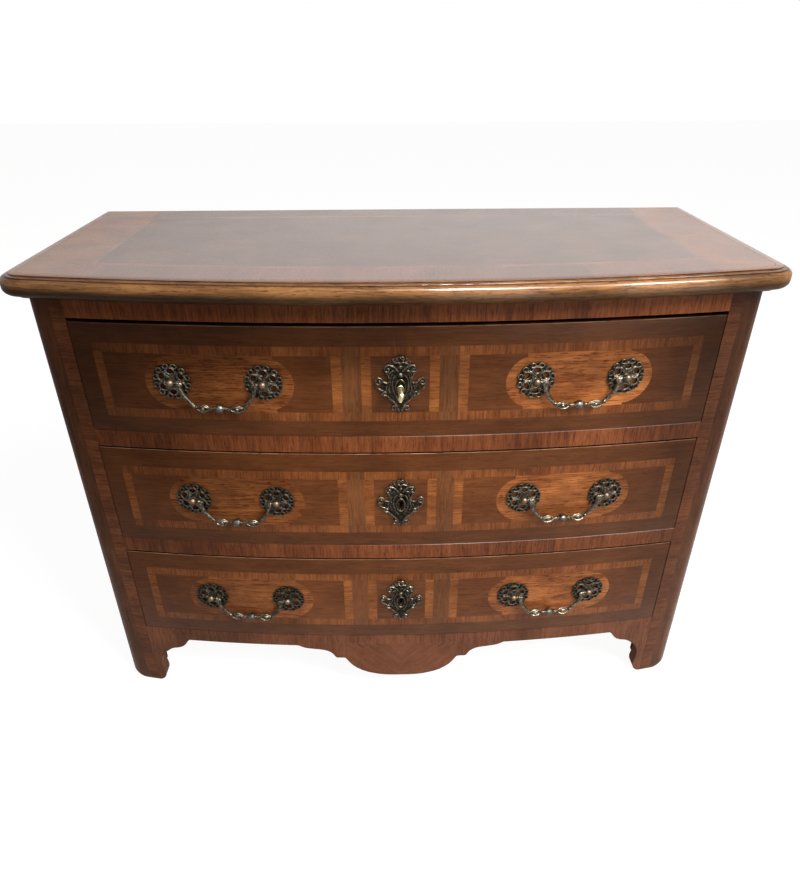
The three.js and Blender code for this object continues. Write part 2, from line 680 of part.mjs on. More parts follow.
// Drawers with their handles, escutcheons and locks
for (const name of ['drawer_1', 'drawer_2', 'drawer_3']) {
  const opening = openingBottoms[name];
  const bottom = opening + drawerBottomGap;
  const top = opening + openingHeight - drawerTopGaps[name];
  const half = openingHalfWidth - drawerSideGap;
  const keyholeZ = opening + keyholeHeight;
  const sideTop = opening + openingHeight - drawerSideDrop;
  const drawer = new THREE.Group();
  chest.add(drawer);

  piece(drawer, `${name}_front`, drawerFrontGeometry(half, bottom, top, keyholeZ),
    finishes.drawerVeneer);
  const inner = half - drawerSideThickness;
  const sideBack = panelFrontY - drawerBackClearance;
  const rear = (x) => bowY(x, drawerFrontThickness) + seam;
  for (const [side, sign] of [['left', -1], ['right', 1]]) {
    const plan = [[inner, rear(inner)], [half, rear(half)], [half, sideBack],
      [inner, sideBack]].map(([x, y]) => [sign * x, y]);
    piece(drawer, `${name}_side_${side}`, planSlab(plan, bottom, sideTop),
      finishes.plainWood);
  }
  piece(drawer, `${name}_back`,
    boxBetween([-inner + seam, sideBack - drawerSideThickness, bottom + drawerBottomLift],
      [inner - seam, sideBack, sideTop - drawerBackDrop]), finishes.plainWood);
  const floorHalf = inner - seam;
  const floorPlan = [];
  for (let i = 0; i <= bowSteps; i += 1) {
    const x = floorHalf * (2 * i / bowSteps - 1);
    floorPlan.push([x, rear(x)]);
  }
  const floorBack = sideBack - drawerSideThickness - seam;
  floorPlan.push([floorHalf, floorBack], [-floorHalf, floorBack]);
  piece(drawer, `${name}_bottom`, planSlab(floorPlan, bottom + drawerBottomLift,
    bottom + drawerBottomLift + drawerBottomThickness), finishes.plainWood);

  const handleZ = opening + handleHeight;
  for (const [side, sign] of [['left', -1], ['right', 1]]) {
    const centre = sign * handleOffset;
    const turn = bowTurn(centre);
    for (const [place, shift] of [['outer', sign], ['inner', -sign]]) {
      const x = centre + shift * (postSpacing / 2) * Math.cos(turn);
      const rosette = piece(drawer, `${name}_rosette_${side}_${place}`, rosetteGeometry(),
        finishes.bronze);
      rosette.position.set(x, bowY(x), handleZ);
      rosette.rotation.z = bowTurn(x);
    }
    const reach = postSpacing / 2 * Math.cos(turn);
    const seatY = (bowY(centre - reach) + bowY(centre + reach)) / 2;
    const bail = piece(drawer, `${name}_bail_${side}`, bailGeometry(), finishes.bronze);
    bail.position.set(centre + pivotReach * Math.sin(turn), seatY - pivotReach * Math.cos(turn),
      handleZ);
    bail.rotation.z = turn;
  }

  const escutcheon = piece(drawer, `${name}_escutcheon`, escutcheonGeometry(),
    finishes.bronze);
  escutcheon.position.set(0, frontY, keyholeZ);
  const working = name === 'drawer_1';
  piece(drawer, `${name}_lock`, lockGeometry(keyholeZ, top - lockTopInset, working),
    finishes.iron);
  if (working) {
    piece(drawer, 'key', keyGeometry(keyholeZ), finishes.brass);
    piece(drawer, 'lock_bolt', boxBetween(
      [-boltWidth / 2 + seam, boltY - boltThickness / 2 + seam, keyholeZ + boltLift + seam],
      [boltWidth / 2 - seam, boltY + boltThickness / 2 - seam, top - lockTopInset]),
    finishes.iron);
  }
}

export default chest;
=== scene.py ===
"""Bow-fronted commode chest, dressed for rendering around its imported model."""

import logging
import math
from dataclasses import dataclass
from enum import Enum
from typing import Callable, Iterable, Sequence

import bmesh
import bpy
from mathutils import Matrix, Vector


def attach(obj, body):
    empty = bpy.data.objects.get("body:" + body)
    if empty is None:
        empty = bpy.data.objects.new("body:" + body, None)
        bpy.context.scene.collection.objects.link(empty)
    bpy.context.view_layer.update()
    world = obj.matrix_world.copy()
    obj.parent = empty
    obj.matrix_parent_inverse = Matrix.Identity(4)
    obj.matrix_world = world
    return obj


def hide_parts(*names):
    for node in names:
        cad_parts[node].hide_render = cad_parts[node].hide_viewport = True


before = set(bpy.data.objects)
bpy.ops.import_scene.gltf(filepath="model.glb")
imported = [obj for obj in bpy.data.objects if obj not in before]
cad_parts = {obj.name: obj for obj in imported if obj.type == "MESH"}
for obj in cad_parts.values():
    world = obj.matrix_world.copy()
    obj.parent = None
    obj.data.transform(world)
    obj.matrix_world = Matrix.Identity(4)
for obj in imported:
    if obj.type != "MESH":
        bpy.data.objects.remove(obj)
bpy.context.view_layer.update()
log = logging.getLogger("commode")

MM = 0.001
Point = Sequence[float]
Colour = tuple[float, float, float]


def srgb(red: int, green: int, blue: int) -> Colour:
    """Turns a colour from 0 to 255 into linear values.

    Args:
        red: Red.
        green: Green.
        blue: Blue.

    Returns:
        The three linear channels.
    """
    def linear(level: int) -> float:
        """Returns one channel as a linear value."""
        share = level / 255
        return share / 12.92 if share <= 0.04045 else ((share + 0.055) / 1.055) ** 2.4
    return linear(red), linear(green), linear(blue)


def mm(*points: tuple[float, ...]) -> list[tuple[float, ...]]:
    """Returns points given in millimetres as points in metres."""
    return [tuple(value * MM for value in point) for point in points]


# ---------------------------------------------------------------- sizes

@dataclass(frozen=True)
class Case:
    """Sizes of the chest that its parts share, in metres."""

    front_y: float = -0.212
    radius: float = 3.490222
    opening_half: float = 0.500
    case_half: float = 0.559
    case_top: float = 0.814
    frame_back: float = -0.116
    seam: float = 0.0003
    opening_height: float = 0.191
    rail_height: float = 0.030
    apron_top: float = 0.151

    def bow_y(self, x: float, depth: float = 0.0) -> float:
        """Returns the Y of a bowed face at x, set back from the front by depth."""
        inner = self.radius - depth
        return self.front_y + self.radius - math.sqrt(inner ** 2 - x ** 2)

    def turn(self, x: float) -> float:
        """Returns the turn about Z that lays a piece on the bowed front at x."""
        return math.asin(x / self.radius)

    def opening(self, number: int) -> float:
        """Returns the height of the bottom of a drawer's opening, counted from the top."""
        return self.apron_top + (3 - number) * (self.opening_height + self.rail_height)

    def lintel(self, number: int) -> float:
        """Returns the height of the top of a drawer's opening."""
        return self.opening(number) + self.opening_height


CASE = Case()
DRAWERS = (1, 2, 3)
TOP_GAPS = {1: 0.005, 2: 0.002, 3: 0.002}


class Side(Enum):
    """Left and right, as a sign along X."""

    LEFT = -1
    RIGHT = 1

    @property
    def label(self) -> str:
        """The word for the side in names."""
        return self.name.lower()


class Grain(Enum):
    """Which way the grain of a plain board runs."""

    ALONG_X = "x"
    ALONG_Y = "y"
    ALONG_Z = "z"


# ---------------------------------------------------------------- shader graph

class Socket:
    """A node's output, with arithmetic that adds Math nodes."""

    def __init__(self, tree: "Nodes", output: bpy.types.NodeSocket) -> None:
        """Wraps an output of a node in a tree."""
        self.tree = tree
        self.output = output

    def _math(self, operation: str, *values: object) -> "Socket":
        """Returns the result of a Math node."""
        return self.tree.math(operation, *values)

    def __add__(self, other: object) -> "Socket":
        """Returns self + other."""
        return self._math("ADD", self, other)

    def __radd__(self, other: object) -> "Socket":
        """Returns other + self."""
        return self._math("ADD", other, self)

    def __sub__(self, other: object) -> "Socket":
        """Returns self - other."""
        return self._math("SUBTRACT", self, other)

    def __rsub__(self, other: object) -> "Socket":
        """Returns other - self."""
        return self._math("SUBTRACT", other, self)

    def __mul__(self, other: object) -> "Socket":
        """Returns self * other."""
        return self._math("MULTIPLY", self, other)

    def __rmul__(self, other: object) -> "Socket":
        """Returns other * self."""
        return self._math("MULTIPLY", other, self)

    def __truediv__(self, other: object) -> "Socket":
        """Returns self / other."""
        return self._math("DIVIDE", self, other)

    def __pow__(self, other: object) -> "Socket":
        """Returns self raised to other."""
        return self._math("POWER", self, other)

    def __gt__(self, other: object) -> "Socket":
        """Returns 1 where self is above other."""
        return self._math("GREATER_THAN", self, other)

    def __lt__(self, other: object) -> "Socket":
        """Returns 1 where self is below other."""
        return self._math("LESS_THAN", self, other)

    def __abs__(self) -> "Socket":
        """Returns the size of self without its sign."""
        return self._math("ABSOLUTE", self)

    def floor(self) -> "Socket":
        """Returns self rounded down."""
        return self._math("FLOOR", self)

    def most(self, other: object) -> "Socket":
        """Returns the larger of self and other."""
        return self._math("MAXIMUM", self, other)

    def least(self, other: object) -> "Socket":
        """Returns the smaller of self and other."""
        return self._math("MINIMUM", self, other)

    def between(self, low: float, high: float) -> "Socket":
        """Returns 1 where self lies between two values."""
        return (self > low) * (self < high)


class Nodes:
    """A node tree whose nodes come from one method."""

    def __init__(self, tree: bpy.types.NodeTree) -> None:
        """Starts the tree afresh."""
        self.tree = tree
        tree.nodes.clear()

    def node(self, kind: str, inputs: dict[str | int, object] | None = None,
             output: str | int = 0, **settings: object) -> Socket:
        """Adds a node and returns one of its outputs.

        Args:
            kind: Type of the node.
            inputs: Values or links of its inputs, by name, identifier or place.
            output: Name or place of the output to return.
            settings: Attributes of the node, set before its inputs.

        Returns:
            The chosen output.
        """
        made = self.tree.nodes.new(kind)
        for key, value in settings.items():
            setattr(made, key, value)
        for key, value in (inputs or {}).items():
            self.feed(self.find(made.inputs, key), value)
        return Socket(self, self.find(made.outputs, output))

    @staticmethod
    def find(sockets: bpy.types.NodeInputs, key: str | int) -> bpy.types.NodeSocket:
        """Finds a socket.

        Args:
            sockets: Sockets of a node.
            key: Place, identifier or name of the one that is wanted.

        Returns:
            The socket.
        """
        if isinstance(key, int):
            return sockets[key]
        return next((s for s in sockets if s.identifier == key), None) or sockets[key]

    def feed(self, socket: bpy.types.NodeSocket, value: object) -> None:
        """Links a socket, or sets its value.

        Args:
            socket: Socket to feed.
            value: Link, or a value. A colour may leave out its alpha.
        """
        if isinstance(value, Socket):
            self.tree.links.new(value.output, socket)
        elif isinstance(value, tuple) and socket.type == "RGBA":
            socket.default_value = (*value, 1.0)
        else:
            socket.default_value = value

    def math(self, operation: str, *values: object) -> Socket:
        """Returns the result of a Math node on its values."""
        return self.node("ShaderNodeMath", dict(enumerate(values)), operation=operation)

    def blend(self, share: Socket, first: Socket, second: Socket) -> Socket:
        """Returns a shader between two, by a share."""
        return self.node("ShaderNodeMixShader", {0: share, 1: first, 2: second})

    def seen(self, *kinds: str) -> Socket:
        """Tells rays from the camera and of other kinds from the rest.

        Args:
            kinds: Outputs for the other kinds of rays.

        Returns:
            1 for those rays and 0 for others.
        """
        rays = self.node("ShaderNodeLightPath", output="Is Camera Ray")
        for kind in kinds:
            rays = rays.most(self.node("ShaderNodeLightPath", output=kind))
        return rays

    def end(self, kind: str, shader: Socket) -> None:
        """Adds the tree's output node and gives it its shader."""
        self.feed(self.tree.nodes.new(kind).inputs[0], shader)


class Graph(Nodes):
    """The node tree of one material, with one Principled surface."""

    def __init__(self, name: str, **constants: object) -> None:
        """Starts a material and sets the surface's constant inputs.

        Args:
            name: Name of the material.
            constants: Inputs of the surface, with _ for a space in the name.
        """
        self.material = bpy.data.materials.new(name)
        self.material.use_nodes = True
        super().__init__(self.material.node_tree)
        self.surface = self.node("ShaderNodeBsdfPrincipled", {
            key.replace("_", " "): value for key, value in constants.items()})
        self.end("ShaderNodeOutputMaterial", self.surface)

    def set(self, name: str, value: object) -> None:
        """Feeds one of the surface's inputs."""
        self.feed(self.surface.output.node.inputs[name], value)

    def mix(self, share: object, first: object, second: object) -> Socket:
        """Returns a colour between two, by a share."""
        return self.node("ShaderNodeMix", {
            "Factor_Float": share, "A_Color": first, "B_Color": second,
        }, output="Result_Color", data_type="RGBA")

    def tint(self, colour: Socket, level: object) -> Socket:
        """Returns a colour made lighter or darker by a level."""
        return self.node("ShaderNodeVectorMath", {0: colour, "Scale": level},
                         operation="SCALE")

    def place(self) -> tuple[Socket, Socket, Socket]:
        """Returns x, y and z of the object's own coordinates."""
        at = self.node("ShaderNodeTexCoord", output="Object")
        split = self.node("ShaderNodeSeparateXYZ", {0: at}).output.node
        return tuple(Socket(self, output) for output in split.outputs)

    def vector(self, x: object, y: object, z: object) -> Socket:
        """Returns a vector of three values."""
        return self.node("ShaderNodeCombineXYZ", {0: x, 1: y, 2: z})

    def noise(self, vector: Socket, scale: float, detail: float = 3.0, rough: float = 0.5,
              distortion: float = 0.0) -> Socket:
        """Adds a noise.

        Args:
            vector: Place.
            scale: Number of its cells in a metre.
            detail: Number of finer layers.
            rough: Share of each finer layer.
            distortion: How far it is warped.

        Returns:
            Its value, about 0.5.
        """
        return self.node("ShaderNodeTexNoise", {
            "Vector": vector, "Scale": scale, "Detail": detail, "Roughness": rough,
            "Distortion": distortion,
        }, output="Fac")

    def spread(self, value: Socket, low: float, high: float) -> Socket:
        """Returns a value with low and high stretched to 0 and 1."""
        return self.node("ShaderNodeMapRange", {
            "Value": value, "From Min": low, "From Max": high,
        }, interpolation_type="SMOOTHSTEP")

    def finish(self, colour: Socket, rough: Socket, height: Socket, bump: float,
               distance: float) -> bpy.types.Material:
        """Feeds the surface and returns the material.

        Args:
            colour: Base colour.
            rough: Roughness.
            height: Height of the relief.
            bump: Strength of the relief.
            distance: Depth of the relief in metres.

        Returns:
            The finished material.
        """
        self.set("Base Color", colour)
        self.set("Roughness", rough)
        self.set("Normal", self.node("ShaderNodeBump", {
            "Strength": bump, "Distance": distance, "Height": height}))
        return self.material


# ---------------------------------------------------------------- finishes

@dataclass(frozen=True)
class Tone:
    """The dark and light colours between which a veneer's grain runs."""

    dark: Colour
    light: Colour


@dataclass(frozen=True)
class Veneers:
    """Tones of the veneers of the chest."""

    dark_band: Tone = Tone(srgb(79, 43, 19), srgb(102, 60, 31))
    crossband: Tone = Tone(srgb(92, 48, 20), srgb(137, 81, 42))
    stripe: Tone = Tone(srgb(108, 57, 23), srgb(166, 102, 52))
    ground: Tone = Tone(srgb(84, 44, 18), srgb(109, 63, 32))
    strap: Tone = Tone(srgb(90, 52, 26), srgb(118, 74, 42))
    centre: Tone = Tone(srgb(85, 46, 21), srgb(111, 66, 37))
    panel: Tone = Tone(srgb(92, 43, 15), srgb(180, 110, 57))
    side: Tone = Tone(srgb(76, 40, 20), srgb(112, 65, 36))
    rail: Tone = Tone(srgb(78, 38, 17), srgb(124, 70, 38))
    apron: Tone = Tone(srgb(84, 46, 27), srgb(122, 74, 48))
    post: Tone = Tone(srgb(54, 29, 14), srgb(78, 46, 26))
    post_edge: Tone = Tone(srgb(66, 33, 16), srgb(104, 60, 34))
    bead: Tone = Tone(srgb(102, 62, 31), srgb(178, 125, 74))
    # The next two tones are painted light: a highlight along a drawer front's eased top edge,
    # and a shadow over its top face that darkens the gap above it.
    worn_edge: Tone = Tone(srgb(110, 74, 50), srgb(196, 152, 118))
    shadow: Tone = Tone(srgb(30, 17, 10), srgb(54, 32, 19))
    ledge: Tone = Tone(srgb(92, 58, 38), srgb(150, 106, 78))
    top_ground: Tone = Tone(srgb(88, 52, 30), srgb(120, 78, 50))
    top_band: Tone = Tone(srgb(108, 64, 42), srgb(128, 78, 53))
    top_side: Tone = Tone(srgb(126, 76, 36), srgb(152, 94, 50))
    inlay: Tone = Tone(srgb(116, 68, 46), srgb(156, 98, 70))


TONES = Veneers()


class Grained:
    """Grain of a veneer whose direction and tones may change from region to region."""

    def __init__(self, graph: Graph, along: Socket, across: Socket, seed: object) -> None:
        """Builds the fibres, figure and pores at a place.

        Args:
            graph: Graph of the material.
            along: Place along the grain, in metres.
            across: Place across the grain, in metres.
            seed: Number that sets one leaf of veneer apart from the next.
        """
        def layer(long: float, wide: float, detail: float, rough: float = 0.5,
                  distortion: float = 0.0) -> Socket:
            """Returns a noise with its own number of cells in a metre either way."""
            return graph.noise(graph.vector(along * long, across * wide, seed), 1.0, detail,
                               rough, distortion)

        across = across + (layer(8.0, 15.0, 2.0) - 0.5) * 0.011
        fibre = layer(22.0, 620.0, 3.0, 0.65, 0.15)
        figure = layer(9.0, 130.0, 2.0, 0.5, 0.8)
        fleck = layer(62.0, 400.0, 2.0, 0.6, 0.4)
        pore = layer(160.0, 1700.0, 1.0)
        cloud = layer(9.0, 16.0, 3.0, 0.6)
        self.pores = graph.spread(pore, 0.58, 0.70)
        flecks = graph.spread(fleck, 0.53, 0.66)
        mixed = fibre * 0.42 + figure * 0.26 + cloud * 0.32
        self.share = (graph.spread(mixed, 0.34, 0.66) + 0.06 - self.pores * 0.22
                      - flecks * 0.42).most(-0.35)
        self.height = fibre * 0.5 - self.pores


class VeneerFinish:
    """A polished veneer surface made of regions, each with its tones and grain."""

    leaf_step: float = 2.7
    leaf_shift: float = 0.031
    joint_width: float = 0.0006
    joint_shade: float = 0.22
    relief: float = 0.10
    relief_depth: float = 0.0003

    def __init__(self, name: str, rough: float = 0.36, coat: float = 0.30,
                 specular: float = 0.05) -> None:
        """Starts a veneer.

        Args:
            name: Name of the material.
            rough: Mean roughness of the polish.
            coat: Weight of the wax over the wood.
            specular: Specular level of the wood.
        """
        self.graph = Graph(name, Coat_Weight=coat, Coat_Roughness=0.22,
                           Specular_IOR_Level=specular)
        self.rough = rough
        self.coat = coat
        self.x, self.y, self.z = self.graph.place()
        self.regions: list[tuple[Socket, Tone]] = []
        self.upright: Socket | None = None
        self.leaf: Socket | float = 0.0
        # Painted light and shade that scale the colour, when a finish sets them.
        self.shade: Socket | None = None
        self.coat_mask: Socket = (self.graph.spread(self.x, -0.40, 0.40) * 0.4
                                  + (1 - self.graph.spread(self.z, 0.15, 0.60)) * 0.6)

    def sheen(self) -> Socket:
        """Works out the painted light and shade of the front: darker near its top and its ends.

        Returns:
            The factor by which the painted light and shade scale the colour.
        """
        spread = self.graph.spread
        high = spread(self.z, 0.15, 0.70)
        left = 1 - spread(self.x, -0.46, -0.10)
        right = spread(self.x, 0.32, 0.47)
        # Painted sheen in the middle, falling to painted shade at both ends, deeper higher up.
        ends = 1 - left * (0.30 + high * 0.34) - right * (0.19 + high * 0.40)
        # Painted shadow of the moulding over the upper left.
        corner = (spread(self.z, 0.68, 0.74) * spread(self.x, -0.42, -0.24)
                  * (1 - spread(self.x, -0.04, 0.14)))
        # Slight painted shade low on the right.
        low = spread(self.x, 0.0, 0.20) * (1 - high) * 0.07
        # Painted light low down, and painted shadow of the moulding towards the top.
        return (1.12 - spread(self.z, 0.62, 0.80) * 0.52) * (ends - low) * (
            1 - corner * 0.36)

    def region(self, mask: Socket, tone: Tone, upright: bool = False) -> None:
        """Adds a region over the ones before it.

        Args:
            mask: 1 inside the region.
            tone: Its tones.
            upright: Whether its grain stands upright.
        """
        self.regions.append((mask, tone))
        if self.upright is None:
            self.upright = mask * float(upright)
        else:
            self.upright = self.upright * (1 - mask) + mask * float(upright)
        self.leaf = mask * (self.leaf_step * len(self.regions)) + self.leaf

    def build(self, ground: Tone, along: Socket | None = None, across: Socket | None = None,
              leaf_length: float = 0.12) -> bpy.types.Material:
        """Finishes the material.

        Args:
            ground: Tones where no region lies.
            along: Place along lying grain. X where it isn't given.
            across: Place across lying grain. Z where it isn't given.
            leaf_length: Length of one leaf of crossbanding, in metres.

        Returns:
            The material.
        """
        g = self.graph
        along = along or self.x
        across = across or self.z
        upright = self.upright
        flow = along * (1 - upright) + across * upright
        width = across * (1 - upright) + along * upright
        leaf_place = (along + self.leaf * self.leaf_shift) / leaf_length
        leaf_number = leaf_place.floor()
        joint = ((leaf_place - leaf_number) * leaf_length < self.joint_width) * upright
        leaf = g.node("ShaderNodeTexWhiteNoise", {"W": leaf_number + self.leaf},
                      output="Value", noise_dimensions="1D")
        grain = Grained(g, flow, width, self.leaf + leaf * upright * 3.0)
        dark, light = ground.dark, ground.light
        patch = g.noise(g.vector(self.x * 17.0, self.y * 17.0, self.z * 30.0), 1.0, 3.0, 0.6)
        faded = 0.58 + g.spread(patch, 0.36, 0.58) * 0.42
        for mask, tone in self.regions:
            dark = g.mix(mask * faded, dark, tone.dark)
            light = g.mix(mask * faded, light, tone.light)
        colour = g.mix(grain.share, dark, light)
        mottle = g.noise(g.vector(self.x * 9.0, self.y * 9.0, self.z * 13.0), 1.0, 2.0, 0.5)
        level = (0.92 + leaf * (upright * 0.20 + 0.06)) * (1 - joint * self.joint_shade) * (
            0.90 + g.spread(mottle, 0.36, 0.64) * 0.20)
        # Scales the colour by the painted light and shade.
        if self.shade is not None:
            level = level * self.shade
        wear = g.noise(g.vector(self.x, self.y, self.z), 14.0, 3.0, 0.6)
        rough = self.rough + (wear - 0.5) * 0.18 + grain.pores * 0.08
        g.set("Coat Weight", self.coat_mask * self.coat)
        return g.finish(g.tint(colour, level), rough, grain.height, self.relief,
                        self.relief_depth)


@dataclass(frozen=True)
class Marquetry:
    """Layout of a drawer front's veneers: heights above its opening and distances from X=0."""

    low_band: float = 0.0285
    field_low: float = 0.0435
    field_high: float = 0.1390
    high_band: float = 0.1540
    centre_half: float = 0.045
    stripe_out: float = 0.060
    strap_out: float = 0.090
    second_out: float = 0.105
    end_stripe: float = 0.455
    band_end: float = 0.469
    panel_centre: float = 0.279
    panel_half: float = 0.116
    panel_round: float = 0.0445
    square_centre: float = 0.2735
    square_half: float = 0.0805
    # Depths of the painted highlight and the painted shadow at the top edge, then the painted
    # shade round the rosettes.
    worn_line: float = 0.0012
    top_edge: float = 0.0003
    rosette_shade: float = 0.62
    grime_near: float = 0.0235
    grime_far: float = 0.0330
    leaf_length: float = 0.055

    def finish(self, number: int) -> bpy.types.Material:
        """Builds the veneer of one drawer's front.

        Args:
            number: Number of the drawer, counted from the top.

        Returns:
            The material.
        """
        veneer = VeneerFinish(f"drawer_veneer_{number}")
        x = abs(veneer.x)
        v = veneer.z - CASE.opening(number)
        banded = v.between(self.low_band, self.high_band)
        inside = v.between(self.field_low, self.field_high)
        span = banded * (x < self.band_end)
        middle = (self.field_low + self.field_high) / 2
        out = (abs(x - self.panel_centre) - (self.panel_half - self.panel_round)).most(0.0)
        reach = (out ** 2.0 + (v - middle) ** 2.0) ** 0.5
        square = abs(x - self.square_centre) < self.square_half
        panel = inside * (reach < self.panel_round).most(square)
        veneer.region(span, TONES.crossband, upright=True)
        veneer.region(inside * (x < self.band_end), TONES.ground)
        veneer.region(panel, TONES.panel)
        stripes = (x.between(self.centre_half, self.stripe_out)
                   + x.between(self.strap_out, self.second_out)
                   + x.between(self.end_stripe, self.band_end))
        veneer.region(inside * stripes, TONES.stripe)
        veneer.region(banded * x.between(self.stripe_out, self.strap_out), TONES.strap,
                      upright=True)
        veneer.region(inside * (x < self.centre_half), TONES.centre)
        top = CASE.opening_height - TOP_GAPS[number]
        # Painted highlight along the eased top edge, and painted shadow over the top face that
        # darkens the gap above the front.
        veneer.region(v.between(top - self.worn_line, top - self.top_edge), TONES.worn_edge)
        veneer.region(v > top - self.top_edge, TONES.shadow)
        spread = veneer.graph.spread
        # Painted shade on the left, used on the left panels and deeper towards their tops.
        left = spread(veneer.x * -1.0, -0.05, 0.25)
        # Painted shade on the wood round each rosette's post, where the rosette casts its
        # shadow.
        post = abs(abs(x - Drawer.handle_at) - Drawer.post_spacing / 2)
        away = (post ** 2.0 + (v - Drawer.handle_height) ** 2.0) ** 0.5
        rosette_shade = (1 - spread(away, self.grime_near, self.grime_far)) * self.rosette_shade
        # Painted light over the lower part of the right panels, strong on the top drawer and
        # slight on the others.
        glow = spread(veneer.x, 0.10, 0.25) * (1 - spread(v, 0.070, 0.125)) * (
            0.26 if number == 1 else 0.05)
        # Painted shade over the top drawer's ground outside its panels.
        top_drawer_shade = inside * (1 - panel) * (0.09 if number == 1 else 0.0)
        veneer.shade = veneer.sheen() * (1 - rosette_shade - top_drawer_shade) * (1 + panel * glow) * (
            1 - left * panel * (0.10 + spread(v, 0.075, 0.135) * 0.26))
        return veneer.build(TONES.dark_band, leaf_length=self.leaf_length)


@dataclass(frozen=True)
class Borders:
    """Where the veneers of the case and its top meet, in metres."""

    lobe_half: float = 0.105
    lobe_top: float = 0.128
    lean: float = 0.9
    post_strip: float = 0.5215
    post_band: float = 0.5440
    post_corner_y: float = -0.135
    post_leaf: float = 0.2
    roll_low: float = 0.8285
    roll_high: float = 0.8400
    roll_face: tuple[float, float] = (0.8290, 0.8440)
    step: tuple[float, ...] = (0.8448, 0.8456, 0.8465, 0.8470)
    ledge: tuple[float, ...] = (0.8466, 0.8470, 0.8478, 0.8482)
    lip: tuple[float, ...] = (0.8479, 0.8483, 0.8490, 0.8497)
    polish_left: tuple[float, ...] = (0.02, 0.07, 0.17, 0.24)
    polish_right: tuple[float, ...] = (0.29, 0.34, 0.44, 0.48)
    top_half: float = 0.575
    top_back: float = 0.260
    top_radius: float = 3.0956
    top_centre_y: float = 2.8676
    front_band: float = 0.068
    side_band: float = 0.105
    back_band: float = 0.060
    line: float = 0.010
    panel_front: float = -0.075
    panel_back: float = 0.190
    panel_low: float = 0.200
    panel_high: float = 0.770
    panel_line: float = 0.006


BORDERS = Borders()


